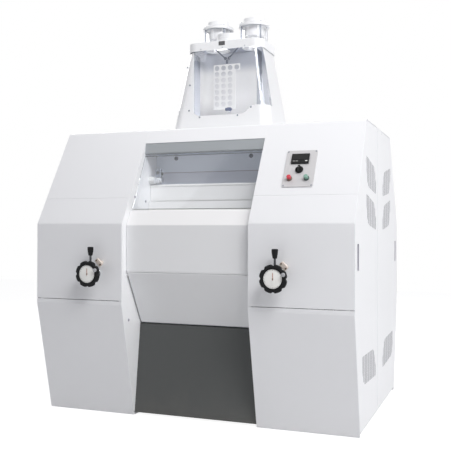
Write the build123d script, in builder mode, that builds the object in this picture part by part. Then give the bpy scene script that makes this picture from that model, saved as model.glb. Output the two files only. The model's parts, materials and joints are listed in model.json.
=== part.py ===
"""Double roller mill for flour: two pairs of grinding rolls, one at the front and one at the rear.

The casing is an octagon seen from its end. Two frame walls carry the rolls between them, and the
housings outside the walls hold the bearings, the gears and the belt pulleys. X runs across the
front, -Y is the front, and the origin lies on the floor under the middle of the machine.
"""
import math
import os

from build123d import *

os.makedirs("parts", exist_ok=True)

# Casing: half depths and heights of the corners of the octagon
overall_width = 1900.0
bay_width = 760.0
roof_height = 1700.0
upper_knee_height = 1122.0
lower_knee_height = 654.0
roof_half_depth = 434.0
knee_half_depth = 780.0
foot_half_depth = 626.0
sheet = 4.0
bend_radius = 22.0
roof_bend_radius = 22.0
seam_gap = 3.0
upper_seam_climb = 175.0
lower_seam_height = 680.0

# Base plates and their anchor holes
base_thickness = 20.0
base_inset = 12.0
toe_setback = 90.0
skirt_floor_gap = 5.0
anchor_hole_diameter = 22.0
anchor_end_margin = 100.0
anchor_side_margin = 86.0

# Frame walls and the bars that tie them
wall_thickness = 20.0
tie_diameter = 50.0
upper_tie_half_depth = 395.0
upper_tie_height = 1650.0
lower_tie_half_depth = 535.0
lower_tie_height = 110.0
beam_size = 100.0
beam_height = 1010.0

# Fits, and how far a face's normal points to the rear where it counts as a back
running_gap = 0.05
loose_gap = 0.3
side_gap = 2.0
back_facing = 0.5

# End frames and the door leaves that swing on them
end_frame_rim = 34.0
end_frame_depth = 20.0
post_width = 120.0
leaf_depth = 23.0
leaf_sheet = 3.0
leaf_gap = 3.0
leaf_pin_radius = 5.0
leaf_pin_length = 12.0
leaf_pivot_offset = 9.0
lug_height = 18.0
lug_width = 24.0
pull_width = 46.0
pull_height = 140.0
pull_depth = 18.0
pull_corner = 9.0
pull_centre_height = 946.0
pull_half_depth = 684.0

# Vent fields of a leaf, each a slanted patch of upright slots with round corners. The corners are
# distances from the middle of the end and heights: inner foot, inner top, outer top, outer foot
vent_slot_width = 11.0
vent_slot_pitch = 27.0
vent_shortest_slot = 30.0
vent_tip_radius = 28.0
vent_shoulder_radius = 80.0
vent_fields = [
    [(98.0, 1296.0), (176.0, 1452.0), (480.0, 1505.0), (404.0, 1331.0)],
    [(98.0, 1086.0), (176.0, 1242.0), (474.0, 1295.0), (398.0, 1121.0)],
    [(103.0, 236.0), (196.0, 404.0), (583.0, 414.0), (530.0, 256.0)],
]

# Middle bay: door, flap, kick panel, header and window, as half depths and heights
door_half_depth = 727.0
door_foot_height = 850.0
door_top_height = 1199.0
door_top_rise = 86.0
door_top_setback = 46.0
door_top_depth = 12.0
door_depth = 34.0
door_lip_radius = 14.0
door_pin_radius = 5.0
door_pin_inset = 6.0
door_pin_rise = 12.0
flap_clearance = 12.0
flap_side_gap = 10.0
flap_foot_half_depth = 552.0
flap_foot_height = 538.0
flap_depth = 22.0
flap_pin_radius = 5.0
flap_pin_inset = 10.0
kick_foot_half_depth = 617.0
kick_gap = 6.0
header_top_height = 1611.0
header_foot_height = 1549.0
header_foot_half_depth = 497.0
header_lip = 24.0
header_bend_radius = 6.0
window_foot_half_depth = 655.0
window_foot_height = 1207.0
window_thickness = 6.0
window_rod_radius = 7.0
window_pin_radius = 5.0
hinge_pin_length = 12.0

# Feed: box, feed rolls and gates
feed_wall_half_depth = 330.0
feed_wall_foot_height = 1275.0
feed_ridge_height = 1500.0
feed_ridge_half_depth = 250.0
feed_ridge_foot_height = 1228.0
feed_ridge_radius = 20.0
feed_roll_half_depth = 318.0
feed_roll_height = 1200.0
feed_roll_diameter = 100.0
feed_journal_radius = 15.0
feed_journal_reach = 30.0
gate_half_depth = 418.0
gate_top_height = 1364.0
gate_bend_height = 1262.0
gate_foot_height = 1208.0
gate_foot_half_depth = 380.0
gate_thickness = 5.0
gate_bend_radius = 14.0
gate_rod_radius = 8.0
gate_pin_radius = 6.0

# Grinding rolls: the fast roll runs in fixed bearings, the slow roll in swinging arms
roll_diameter = 250.0
roll_end_gap = 10.0
roll_height = 790.0
fast_roll_half_depth = 226.0
roll_opening = 4.0
journal_radius = 45.0
seat_radius = 40.0
shaft_radius = 36.0
shaft_end = 4.0
wall_passage_radius = 62.0
bearing_flange_radius = 98.0
bearing_flange_thickness = 18.0
bearing_body_radius = 72.0
bearing_length = 84.0
arm_pivot_radius = 30.0
arm_pivot_drop = 250.0
arm_pivot_lead = 150.0
arm_width = 90.0
arm_eye_radius = 78.0
arm_foot_radius = 58.0
arm_pad_height = 60.0

# Differential gears on the right, belt pulleys on the left
gear_module = 8.0
fast_teeth = 24
slow_teeth = 38
gear_width = 60.0
gear_start = 650.0
tooth_play = 0.7
tooth_slant = 20.0
addendum_ratio = 0.9
dedendum_ratio = 1.15
pulley_radius = 180.0
pulley_start = 650.0
pulley_web = 30.0
pulley_rim = 34.0
pulley_hub_radius = 70.0
groove_count = 5
groove_pitch = 19.0
groove_depth = 14.0
groove_half_width = 7.5
groove_foot_half_width = 4.0

# Discharge hoppers under the rolls
hopper_top_height = 555.0
hopper_collar = 40.0
hopper_near_half_depth = 14.0
hopper_far_half_depth = 515.0
hopper_outlet_size = 300.0
hopper_outlet_half_depth = 270.0
hopper_flange = 30.0
hopper_flange_thickness = 6.0

# Adjusting stations: handwheel, engaging lever and bush, one at each corner of the machine
station_bay_offset = 168.0
station_height = 836.0
spindle_radius = 12.0
spindle_tip_gap = 0.5
bush_radius = 20.0
bush_flange_radius = 36.0
bush_flange_thickness = 8.0
bush_nose = 66.0
bush_tail = 60.0
wheel_radius = 75.0
wheel_thickness = 22.0
wheel_hub_radius = 22.0
wheel_hub_gap = 3.0
wheel_hub_length = 8.0
wheel_lobes = 8
wheel_notch_radius = 11.0
wheel_notch_depth = 6.0
wheel_chamfer = 4.0
dial_radius = 52.0
dial_recess = 6.0
dial_thickness = 4.0
crank_angle = 21.0
crank_radius = 65.0
crank_knob_foot_radius = 7.0
crank_knob_radius = 11.0
crank_knob_length = 16.0
crank_knob_round = 4.0
crank_stem_radius = 5.0
crank_stem_length = 4.0
lever_ring_radius = 32.0
lever_ring_width = 14.0
lever_rod_radius = 6.0
grip_start = 103.0
grip_length = 50.0
grip_foot_radius = 10.0
grip_top_radius = 17.5
grip_round = 4.0
clamp_x = 42.0
clamp_y = 64.0
clamp_length = 46.0
clamp_width = 26.0
clamp_depth = 44.0
clamp_thickness = 16.0
clamp_stem_radius = 8.0
clamp_tilt = -45.0
clamp_round = 3.0

# Control plate on the slope of the right housing; climb is measured up the slope from the knee
plate_end_margin = 332.5
plate_climb = 348.0
plate_width = 173.0
plate_length = 243.0
plate_thickness = 5.0
plate_corner = 10.0
display_shift = -4.0
display_rise = 61.0
display_width = 99.0
display_length = 64.0
display_thickness = 9.0
selector_shift = -1.0
selector_rise = -11.0
selector_radius = 22.0
selector_base = 7.0
selector_grip_length = 40.0
selector_grip_width = 13.0
selector_grip_height = 14.0
stop_shift = -48.5
start_shift = 46.5
button_rise = -68.0
button_radius = 12.0
button_travel = 3.0
button_height = 22.0
button_round = 3.0
bezel_radius = 16.0
bezel_height = 10.0
bezel_taper = 10.0

# Inlet hood over the middle bay
hood_base_width = 666.0
hood_base_depth = 474.0
hood_top_width = 478.0
hood_top_depth = 306.0
hood_corner = 70.0
hood_top_height = 2281.0
roof_opening_width = 600.0
roof_opening_depth = 410.0
hood_window_rear = -112.0
hood_window_foot = 1806.0
hood_window_step = 52.0
hood_window_step_inner = 130.0
hood_window_step_outer = 235.0
cap_width = 508.0
cap_depth = 334.0
cap_skirt = 51.0
spout_x = 126.0
spout_y = 71.0
glass_radius = 84.0
glass_wall = 4.0
glass_height = 128.0
spout_flange_radius = 101.0
spout_flange_thickness = 16.0
spout_radius = 64.0
spout_bore_radius = 60.0
spout_drop = 62.0
spout_rise = 36.0
spout_collar_radius = 70.0
spout_collar_height = 24.0
tie_rod_radius = 4.0
tie_rod_circle = 93.0
tie_rods_per_glass = 4
aspiration_radius = 75.0
aspiration_wall = 5.0
aspiration_y = -64.0
aspiration_height = 54.0

# Feeler plate in the hood: a perforated plate with a wider strip along its top
feeler_y = -100.0
feeler_pivot_height = 2186.0
feeler_top_drop = 39.0
feeler_strip_width = 180.0
feeler_strip_height = 41.0
feeler_plate_width = 150.0
feeler_length = 287.0
feeler_thickness = 3.0
feeler_hole_radius = 15.5
feeler_hole_rows = 7
feeler_hole_columns = 3
feeler_hole_pitch_x = 45.0
feeler_hole_pitch_z = 38.5
feeler_hole_margin = 23.0
feeler_stem_width = 12.0
feeler_hub_radius = 8.0
feeler_pin_radius = 3.0
hanger_half_span = 112.0
hanger_radius = 4.0
hanger_eye_radius = 10.0
hanger_eye_gap = 3.0

# Worked out from the sizes above
half_width = overall_width / 2
half_bay = bay_width / 2
anchor_spacing_x = overall_width - 2 * anchor_end_margin
anchor_spacing_y = 2 * (foot_half_depth - anchor_side_margin)
wall_outer = half_bay + wall_thickness
roof_underside = roof_height - sheet
slope_run = knee_half_depth - roof_half_depth
slope_rise = roof_height - upper_knee_height
slope_length = math.hypot(slope_run, slope_rise)
slow_roll_half_depth = fast_roll_half_depth + roll_diameter + roll_opening
station_x = half_bay + station_bay_offset
arm_inner_x = station_x - arm_width / 2
arm_outer_x = station_x + arm_width / 2
arm_pivot_half_depth = slow_roll_half_depth - arm_pivot_lead
arm_pivot_height = roll_height - arm_pivot_drop
arm_face_half_depth = slow_roll_half_depth + arm_eye_radius
leaf_edge = post_width / 2 + leaf_gap
leaf_inset = sheet + leaf_gap
leaf_pivot_x = half_width - leaf_pivot_offset
leaf_pivot_y = leaf_edge + leaf_pivot_offset
leaf_back = half_width - leaf_depth
leaf_top = roof_underside - lug_height - leaf_gap
leaf_foot = base_thickness + lug_height + leaf_gap
door_bend_height = door_top_height - door_top_rise
flap_top_height = door_foot_height - flap_clearance
kick_top_height = flap_foot_height - kick_gap
wheel_back = bush_nose + wheel_hub_gap + wheel_hub_length
wheel_face = wheel_back + wheel_thickness
plate_x = half_width - plate_end_margin
button_climb = plate_climb + button_rise
selector_place = (plate_x + selector_shift, plate_climb + selector_rise)
cap_top = hood_top_height + sheet
glass_top = cap_top + glass_height
spout_top = glass_top + spout_flange_thickness + spout_rise

# Hinge lines across the front of the bay: half depth, height and pin radius
door_hinge = (door_half_depth - door_pin_inset, door_foot_height + door_pin_rise, door_pin_radius)
flap_hinge = (door_half_depth - flap_pin_inset, flap_top_height - flap_pin_inset, flap_pin_radius)
window_hinge = (
    header_foot_half_depth - window_rod_radius,
    header_foot_height - sheet - window_rod_radius - side_gap,
    window_pin_radius,
)
gate_hinge = (gate_half_depth, gate_top_height - gate_rod_radius, gate_pin_radius)


def write(part, node):
    """Label a finished piece and write it as one STEP file."""
    part.label = node
    export_step(part, f"parts/{node}.step")


def write_front_and_rear(front_part, node):
    """Write a front piece, and its twin at the rear, mirrored in the middle of the machine."""
    write(front_part, f"front_{node}")
    write(mirror(front_part, about=Plane.XZ), f"rear_{node}")


def slope_half_depth(height):
    """Half depth of the casing on its upper slope at a height."""
    return knee_half_depth - (height - upper_knee_height) * slope_run / slope_rise


def casing_face(inset):
    """End view of the casing as a face, with rounded bends, drawn inside its outline by inset."""
    with BuildSketch() as face:
        with BuildLine():
            Polyline(
                (foot_half_depth, 0),
                (knee_half_depth, lower_knee_height),
                (knee_half_depth, upper_knee_height),
                (roof_half_depth, roof_height),
                (-roof_half_depth, roof_height),
                (-knee_half_depth, upper_knee_height),
                (-knee_half_depth, lower_knee_height),
                (-foot_half_depth, 0),
                close=True,
            )
        make_face()
        fillet(face.vertices().filter_by_position(Axis.Y, sheet, roof_height - sheet), bend_radius)
        fillet(face.vertices().group_by(Axis.Y)[-1], roof_bend_radius)
        if inset:
            offset(amount=-inset, kind=Kind.INTERSECTION)
    return face.sketch


def bent_sheet(points, thickness, radius=0.0):
    """Section of a sheet whose middle line runs through points, with rounded bends."""
    with BuildSketch() as section:
        with BuildLine():
            if radius:
                FilletPolyline(*points, radius=radius)
            else:
                Line(*points)
        trace(line_width=thickness)
    return section.sketch


def across_bay(section, gap=0.0):
    """Extrude a section across the middle bay, leaving a gap at each frame wall."""
    with BuildPart() as strip:
        with BuildSketch(Plane.YZ.offset(-half_bay + gap)):
            add(section)
        extrude(amount=bay_width - 2 * gap)
    return strip.part


def hinge_pins(hinge, gap=side_gap):
    """Two stub pins at the ends of a hinge line, over the gaps at the sides into the frame walls."""
    half_depth, height, radius = hinge
    with BuildPart() as pins:
        for side in (-1, 1):
            with BuildSketch(Plane.YZ.offset(side * (half_bay - gap))):
                with Locations((-half_depth, height)):
                    Circle(radius)
            extrude(amount=side * (gap + hinge_pin_length))
    return pins.part


def turned(steps, half_depth, height):
    """A round bar across the machine from steps of (start, end, radius) along X."""
    with BuildPart() as bar:
        for start, end, radius in steps:
            with BuildSketch(Plane.YZ.offset(start)):
                with Locations((-half_depth, height)):
                    Circle(radius)
            extrude(amount=end - start)
    return bar.part


# Base: the floor plates of the two housings, and cross plates that leave the hoppers' outlets open.
# In the bay all of them stop short of the kick panels, as toe space
base_half_width = half_width - base_inset
base_depth = 2 * (foot_half_depth - base_inset)
outlet_half = hopper_outlet_size / 2
with BuildPart() as housing_floors:
    with BuildSketch():
        with GridLocations(base_half_width + outlet_half, 0, 2, 1):
            Rectangle(base_half_width - outlet_half, base_depth)
        with GridLocations(0, base_depth - toe_setback, 1, 2):
            Rectangle(bay_width, toe_setback, mode=Mode.SUBTRACT)
        with GridLocations(anchor_spacing_x, anchor_spacing_y, 2, 2):
            Circle(anchor_hole_diameter / 2, mode=Mode.SUBTRACT)
    extrude(amount=base_thickness)
with BuildPart() as cross_plates:
    with BuildSketch():
        Rectangle(hopper_outlet_size, base_depth - 2 * toe_setback)
        with GridLocations(0, 2 * hopper_outlet_half_depth, 1, 2):
            Rectangle(hopper_outlet_size, hopper_outlet_size, mode=Mode.SUBTRACT)
    extrude(amount=base_thickness)
write(Compound([*housing_floors.part.solids(), *cross_plates.part.solids()]), "base_frame")

# Frame walls: thick octagon plates with the passage of every shaft, and the pivots of the roll arms
with BuildPart() as frame_walls:
    with BuildSketch(Plane.YZ.offset(half_bay)):
        add(casing_face(sheet))
        with Locations((0, base_thickness / 2)):
            Rectangle(2 * knee_half_depth, base_thickness, mode=Mode.SUBTRACT)
        for side in (-1, 1):
            for half_depth in (fast_roll_half_depth, slow_roll_half_depth):
                with Locations((side * half_depth, roll_height)):
                    Circle(wall_passage_radius, mode=Mode.SUBTRACT)
            with Locations((side * feed_roll_half_depth, feed_roll_height)):
                Circle(feed_journal_radius + running_gap, mode=Mode.SUBTRACT)
            for half_depth, height, radius in (door_hinge, flap_hinge, window_hinge, gate_hinge):
                with Locations((side * half_depth, height)):
                    Circle(radius + running_gap, mode=Mode.SUBTRACT)
    extrude(amount=wall_thickness)
    with BuildSketch(Plane.YZ.offset(wall_outer)):
        for side in (-1, 1):
            with Locations((side * arm_pivot_half_depth, arm_pivot_height)):
                Circle(arm_pivot_radius)
    extrude(amount=arm_outer_x + seam_gap - wall_outer)
    mirror(about=Plane.YZ)
write(frame_walls.part, "frame_walls")

# Tie bars between the walls: four round bars and one square beam
with BuildPart() as tie_bars:
    with BuildSketch(Plane.YZ.offset(-half_bay)):
        for side in (-1, 1):
            with Locations((side * upper_tie_half_depth, upper_tie_height)):
                Circle(tie_diameter / 2)
            with Locations((side * lower_tie_half_depth, lower_tie_height)):
                Circle(tie_diameter / 2)
        with Locations((0, beam_height)):
            Rectangle(beam_size, beam_size)
    extrude(amount=bay_width)
write(tie_bars.part, "tie_bars")


# Covers of the housings: one band of folded sheet over the roof, one at each knee, one at each foot
def seam_point(depth, shift):
    """A point of the upper seam, depth below the outer face and shift up the slope."""
    climb = upper_seam_climb + shift
    return (
        -knee_half_depth + (climb * slope_run + depth * slope_rise) / slope_length,
        upper_knee_height + (climb * slope_rise - depth * slope_run) / slope_length,
    )


def cover_band(outline):
    """Folded sheet of the right housing: the part of the casing's skin inside an outline."""
    with BuildPart() as band:
        with BuildSketch(Plane.YZ.offset(half_bay)):
            add(casing_face(0))
            add(casing_face(sheet), mode=Mode.SUBTRACT)
            Polygon(*outline, mode=Mode.INTERSECT)
        extrude(amount=half_width - half_bay)
    return band.part


cut_margin = 4 * bend_radius
outside_y = -knee_half_depth - cut_margin
inside_y = -foot_half_depth + cut_margin
middle_outline = [
    (outside_y, lower_seam_height + seam_gap / 2),
    (inside_y, lower_seam_height + seam_gap / 2),
    seam_point(cut_margin, -seam_gap / 2),
    seam_point(-cut_margin, -seam_gap / 2),
]
skirt_outline = [
    (outside_y, skirt_floor_gap),
    (inside_y, skirt_floor_gap),
    (inside_y, lower_seam_height - seam_gap / 2),
    (outside_y, lower_seam_height - seam_gap / 2),
]
roof_front = [seam_point(-cut_margin, seam_gap / 2), seam_point(cut_margin, seam_gap / 2)]
roof_outline = roof_front + [(-y, z) for y, z in reversed(roof_front)] + [
    (knee_half_depth, roof_height + cut_margin),
    (-knee_half_depth, roof_height + cut_margin),
]

with BuildPart() as roof_covers:
    add(cover_band(roof_outline))
    mirror(about=Plane.YZ)
write(roof_covers.part, "roof_covers")

with BuildPart() as middle_covers:
    add(cover_band(middle_outline))
    with BuildSketch(Plane.XZ.offset(knee_half_depth)):
        with Locations((station_x, station_height)):
            Circle(bush_radius + loose_gap)
    extrude(amount=-2 * sheet, mode=Mode.SUBTRACT)
    mirror(about=Plane.XZ)
    mirror(about=Plane.YZ)
write(middle_covers.part, "middle_covers")

with BuildPart() as skirts:
    add(cover_band(skirt_outline))
    mirror(about=Plane.XZ)
    mirror(about=Plane.YZ)
write(skirts.part, "skirts")

# End frames: an octagon rim and a hollow post at each end, with lugs for the pivots of the leaves
with BuildPart() as end_frames:
    with BuildSketch(Plane.YZ.offset(leaf_back - seam_gap - end_frame_depth)):
        add(casing_face(sheet))
        add(casing_face(sheet + end_frame_rim), mode=Mode.SUBTRACT)
        with Locations((0, base_thickness + end_frame_rim / 2)):
            Rectangle(2 * foot_half_depth - 2 * end_frame_rim, end_frame_rim)
        with Locations((0, (base_thickness + roof_underside) / 2)):
            Rectangle(post_width, roof_underside - base_thickness)
        with Locations((0, base_thickness / 2)):
            Rectangle(2 * knee_half_depth, base_thickness, mode=Mode.SUBTRACT)
    extrude(amount=end_frame_depth)
    with BuildSketch(Plane.YZ.offset(leaf_back - seam_gap)):
        with Locations((0, (base_thickness + roof_underside) / 2)):
            Rectangle(post_width, roof_underside - base_thickness)
        with Locations((0, roof_underside - lug_height / 2), (0, base_thickness + lug_height / 2)):
            Rectangle(post_width + 2 * lug_width, lug_height)
    extrude(amount=leaf_depth + seam_gap)
    with BuildSketch(Plane.YZ.offset(half_width - sheet)):
        with Locations((0, (leaf_foot + leaf_top) / 2)):
            Rectangle(post_width - 2 * sheet, leaf_top - leaf_foot)
    extrude(amount=-half_width, mode=Mode.SUBTRACT)
    with BuildSketch(Plane.XY.offset(roof_underside)):
        for side in (-1, 1):
            with Locations((leaf_pivot_x, side * leaf_pivot_y)):
                Circle(leaf_pin_radius + running_gap)
    extrude(amount=base_thickness - roof_underside, mode=Mode.SUBTRACT)
    mirror(about=Plane.YZ)
write(end_frames.part, "end_frames")


# Door leaves of the ends: pans that swing on pins beside the post, with vent slots and a pull
def vent_slots(field):
    """The slots of one vent field: upright bars cut to its outline, without the shortest."""
    distances, heights = zip(*field)
    middle_height = (min(heights) + max(heights)) / 2
    with BuildSketch() as bars:
        for index in range(int((max(distances) - min(distances)) // vent_slot_pitch)):
            bar_middle = min(distances) + index * vent_slot_pitch + vent_slot_pitch / 2
            with Locations((-bar_middle, middle_height)):
                Rectangle(vent_slot_width, max(heights) - min(heights))
    with BuildSketch() as slots:
        Polygon(*[(-distance, height) for distance, height in field])
        fillet(slots.vertices().sort_by(Axis.X)[1:3], vent_shoulder_radius)
        fillet(slots.vertices().sort_by(Axis.X)[0], vent_tip_radius)
        fillet(slots.vertices().sort_by(Axis.X)[-1], vent_tip_radius)
        add(bars.sketch, mode=Mode.INTERSECT)
    return [slot for slot in slots.faces() if slot.bounding_box().size.Y > vent_shortest_slot]


with BuildPart() as side_leaf:
    with BuildSketch(Plane.YZ.offset(leaf_back)):
        add(casing_face(leaf_inset))
        Polygon(
            (-leaf_edge, leaf_foot),
            (-leaf_edge, leaf_top),
            (-leaf_edge - lug_width - leaf_gap, leaf_top),
            (-leaf_edge - lug_width - leaf_gap, roof_height),
            (-knee_half_depth, roof_height),
            (-knee_half_depth, base_thickness + leaf_gap),
            (-leaf_edge - lug_width - leaf_gap, base_thickness + leaf_gap),
            (-leaf_edge - lug_width - leaf_gap, leaf_foot),
            mode=Mode.INTERSECT,
        )
    extrude(amount=leaf_depth)
    hinge_edges = side_leaf.edges().filter_by(Axis.Z).group_by(Axis.Y)[-1]
    fillet(hinge_edges.sort_by(Axis.X)[-1], leaf_pivot_offset)
    offset(amount=-leaf_sheet, openings=side_leaf.faces().sort_by(Axis.X)[0], kind=Kind.INTERSECTION)
    with BuildSketch(Plane.YZ.offset(half_width - leaf_sheet)):
        for field in vent_fields:
            add(vent_slots(field))
    extrude(amount=leaf_sheet, mode=Mode.SUBTRACT)
    with BuildSketch(Plane.YZ.offset(half_width)):
        with Locations((-pull_half_depth, pull_centre_height)):
            RectangleRounded(pull_width + 2 * leaf_sheet, pull_height + 2 * leaf_sheet, pull_corner)
    extrude(amount=-pull_depth)
    with BuildSketch(Plane.YZ.offset(half_width)):
        with Locations((-pull_half_depth, pull_centre_height)):
            RectangleRounded(pull_width, pull_height, pull_corner)
    extrude(amount=leaf_sheet - pull_depth, mode=Mode.SUBTRACT)
    for pin_level, way in ((leaf_top, 1), (leaf_foot, -1)):
        with BuildSketch(Plane.XY.offset(pin_level)):
            with Locations((leaf_pivot_x, -leaf_pivot_y)):
                Circle(leaf_pivot_offset - leaf_sheet / 2)
        extrude(amount=-way * lug_height)
        with BuildSketch(Plane.XY.offset(pin_level)):
            with Locations((leaf_pivot_x, -leaf_pivot_y)):
                Circle(leaf_pin_radius)
        extrude(amount=way * (leaf_gap + leaf_pin_length))
write_front_and_rear(side_leaf.part, "right_side_door")
write_front_and_rear(mirror(side_leaf.part, about=Plane.YZ), "left_side_door")

# Roof of the middle bay, flush with the slopes, open under the hood
with BuildPart() as centre_roof:
    with BuildSketch(Plane.YZ.offset(-half_bay)):
        add(casing_face(0))
        add(casing_face(sheet), mode=Mode.SUBTRACT)
        with Locations((0, header_top_height + roof_height / 2)):
            Rectangle(2 * knee_half_depth, roof_height, mode=Mode.INTERSECT)
    extrude(amount=bay_width)
    with BuildSketch(Plane.XY.offset(roof_height)):
        RectangleRounded(roof_opening_width, roof_opening_depth, hood_corner)
    extrude(amount=-2 * sheet, mode=Mode.SUBTRACT)
write(centre_roof.part, "centre_roof")

# Window headers: a folded strip under the bay's roof, with a lip turned in over the window
header_section = bent_sheet(
    [
        (-slope_half_depth(header_top_height) + sheet, header_top_height - side_gap),
        (-header_foot_half_depth + sheet / 2, header_foot_height - sheet / 2),
        (-header_foot_half_depth + header_lip, header_foot_height - sheet / 2),
    ],
    sheet,
    header_bend_radius,
)
with BuildPart() as window_headers:
    add(across_bay(header_section))
    mirror(about=Plane.XZ)
write(window_headers.part, "window_headers")

# Feed windows: clear sheets that hang on a rod under the header and lift outwards
window_section = bent_sheet(
    [(-window_hinge[0], window_hinge[1]), (-window_foot_half_depth, window_foot_height)],
    window_thickness,
)
with BuildPart() as feed_window:
    add(across_bay(window_section, side_gap))
    with BuildSketch(Plane.YZ.offset(-half_bay + side_gap)):
        with Locations((-window_hinge[0], window_hinge[1])):
            Circle(window_rod_radius)
    extrude(amount=bay_width - 2 * side_gap)
    add(hinge_pins(window_hinge))
write_front_and_rear(feed_window.part, "feed_window")

# Roll doors: folded pans with a rolled top lip, hinged along the foot and folding down
with BuildPart() as roll_door:
    with BuildSketch(Plane.YZ.offset(-half_bay + side_gap)):
        Polygon(
            (-door_half_depth, door_foot_height),
            (-door_half_depth, door_bend_height),
            (-door_half_depth + door_top_setback, door_top_height),
            (-door_half_depth + door_top_setback + door_top_depth, door_top_height),
            (-door_half_depth + door_depth, door_bend_height),
            (-door_half_depth + door_depth, door_foot_height),
        )
    extrude(amount=bay_width - 2 * side_gap)
    lip_edges = roll_door.edges().filter_by(Axis.X).group_by(Axis.Z)[-1]
    fillet(lip_edges.sort_by(Axis.Y)[0], door_lip_radius)
    door_backs = roll_door.faces().filter_by(lambda face: face.normal_at().Y > back_facing)
    offset(amount=-sheet, openings=door_backs, kind=Kind.INTERSECTION)
    add(hinge_pins(door_hinge))
write_front_and_rear(roll_door.part, "roll_door")

# Lower flaps: sloping pans under the roll doors, hinged along the top
flap_angle = math.atan2(door_half_depth - flap_foot_half_depth, flap_top_height - flap_foot_height)
flap_offset_y = flap_depth / math.cos(flap_angle)
with BuildPart() as lower_flap:
    with BuildSketch(Plane.YZ.offset(-half_bay + flap_side_gap)):
        Polygon(
            (-door_half_depth, flap_top_height),
            (-flap_foot_half_depth, flap_foot_height),
            (-flap_foot_half_depth + flap_offset_y, flap_foot_height),
            (-door_half_depth + flap_offset_y, flap_top_height),
        )
    extrude(amount=bay_width - 2 * flap_side_gap)
    flap_backs = lower_flap.faces().filter_by(lambda face: face.normal_at().Y > back_facing)
    offset(amount=-sheet, openings=flap_backs, kind=Kind.INTERSECTION)
    add(hinge_pins(flap_hinge, flap_side_gap))
write_front_and_rear(lower_flap.part, "lower_flap")

# Kick panels: dark sheets that close the foot of the bay
kick_section = bent_sheet(
    [
        (-kick_foot_half_depth + sheet, base_thickness + sheet),
        (-flap_foot_half_depth + sheet, kick_top_height - sheet),
        (-flap_foot_half_depth + hopper_flange, kick_top_height - sheet),
    ],
    sheet,
    header_bend_radius,
)
with BuildPart() as kick_panels:
    add(across_bay(kick_section))
    mirror(about=Plane.XZ)
write(kick_panels.part, "kick_panels")

# Feed box: the two walls of the chute and the ridge that parts the stream
ridge_section = bent_sheet(
    [
        (-feed_ridge_half_depth, feed_ridge_foot_height),
        (0, feed_ridge_height),
        (feed_ridge_half_depth, feed_ridge_foot_height),
    ],
    sheet,
    feed_ridge_radius,
)
with BuildPart() as feed_box:
    add(across_bay(ridge_section))
    for side in (-1, 1):
        wall_y = side * (feed_wall_half_depth - sheet / 2)
        add(across_bay(bent_sheet([(wall_y, feed_wall_foot_height), (wall_y, roof_underside)], sheet)))
write(feed_box.part, "feed_box")

# Feed rolls, whose journals run in the frame walls
feed_length = half_bay - side_gap
feed_roll = turned(
    [
        (-wall_outer - feed_journal_reach, -feed_length, feed_journal_radius),
        (-feed_length, feed_length, feed_roll_diameter / 2),
        (feed_length, wall_outer + feed_journal_reach, feed_journal_radius),
    ],
    feed_roll_half_depth,
    feed_roll_height,
)
write_front_and_rear(feed_roll, "feed_roll")

# Feed gates: bent plates that hang on a rod and meter the stream against the feed roll
gate_section = bent_sheet(
    [
        (-gate_hinge[0], gate_hinge[1]),
        (-gate_half_depth, gate_bend_height),
        (-gate_foot_half_depth, gate_foot_height),
    ],
    gate_thickness,
    gate_bend_radius,
)
with BuildPart() as feed_gate:
    add(across_bay(gate_section, side_gap))
    with BuildSketch(Plane.YZ.offset(-half_bay + side_gap)):
        with Locations((-gate_hinge[0], gate_hinge[1])):
            Circle(gate_rod_radius)
    extrude(amount=bay_width - 2 * side_gap)
    add(hinge_pins(gate_hinge))
write_front_and_rear(feed_gate.part, "feed_gate")

# Grinding rolls with their journals, bearing seats and shaft ends
barrel_half = half_bay - roll_end_gap
gear_end = gear_start + gear_width + shaft_end
pulley_width = groove_count * groove_pitch + 2 * groove_half_width
pulley_end = pulley_start + pulley_width + shaft_end
fast_seat_end = wall_outer + bearing_length + shaft_end
fast_roll = turned(
    [
        (-pulley_end, -fast_seat_end, shaft_radius),
        (-fast_seat_end, -wall_outer, seat_radius),
        (-wall_outer, -barrel_half, journal_radius),
        (-barrel_half, barrel_half, roll_diameter / 2),
        (barrel_half, wall_outer, journal_radius),
        (wall_outer, fast_seat_end, seat_radius),
        (fast_seat_end, gear_end, shaft_radius),
    ],
    fast_roll_half_depth,
    roll_height,
)
write_front_and_rear(fast_roll, "fast_roll")
slow_seat_start = arm_inner_x - side_gap
slow_seat_end = arm_outer_x + shaft_end
slow_roll = turned(
    [
        (-slow_seat_end, -slow_seat_start, seat_radius),
        (-slow_seat_start, -barrel_half, journal_radius),
        (-barrel_half, barrel_half, roll_diameter / 2),
        (barrel_half, slow_seat_start, journal_radius),
        (slow_seat_start, slow_seat_end, seat_radius),
        (slow_seat_end, gear_end, shaft_radius),
    ],
    slow_roll_half_depth,
    roll_height,
)
write_front_and_rear(slow_roll, "slow_roll")

# Fixed bearings of the fast rolls: flanged housings on the outside of the walls
with BuildPart() as roll_bearings:
    for side in (-1, 1):
        centre = (side * fast_roll_half_depth, roll_height)
        with BuildSketch(Plane.YZ.offset(wall_outer)):
            with Locations(centre):
                Circle(bearing_flange_radius)
        extrude(amount=bearing_flange_thickness)
        with BuildSketch(Plane.YZ.offset(wall_outer)):
            with Locations(centre):
                Circle(bearing_body_radius)
        extrude(amount=bearing_length)
        with BuildSketch(Plane.YZ.offset(wall_outer)):
            with Locations(centre):
                Circle(seat_radius + running_gap)
        extrude(amount=bearing_length, mode=Mode.SUBTRACT)
    mirror(about=Plane.YZ)
write(roll_bearings.part, "roll_bearings")

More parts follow.
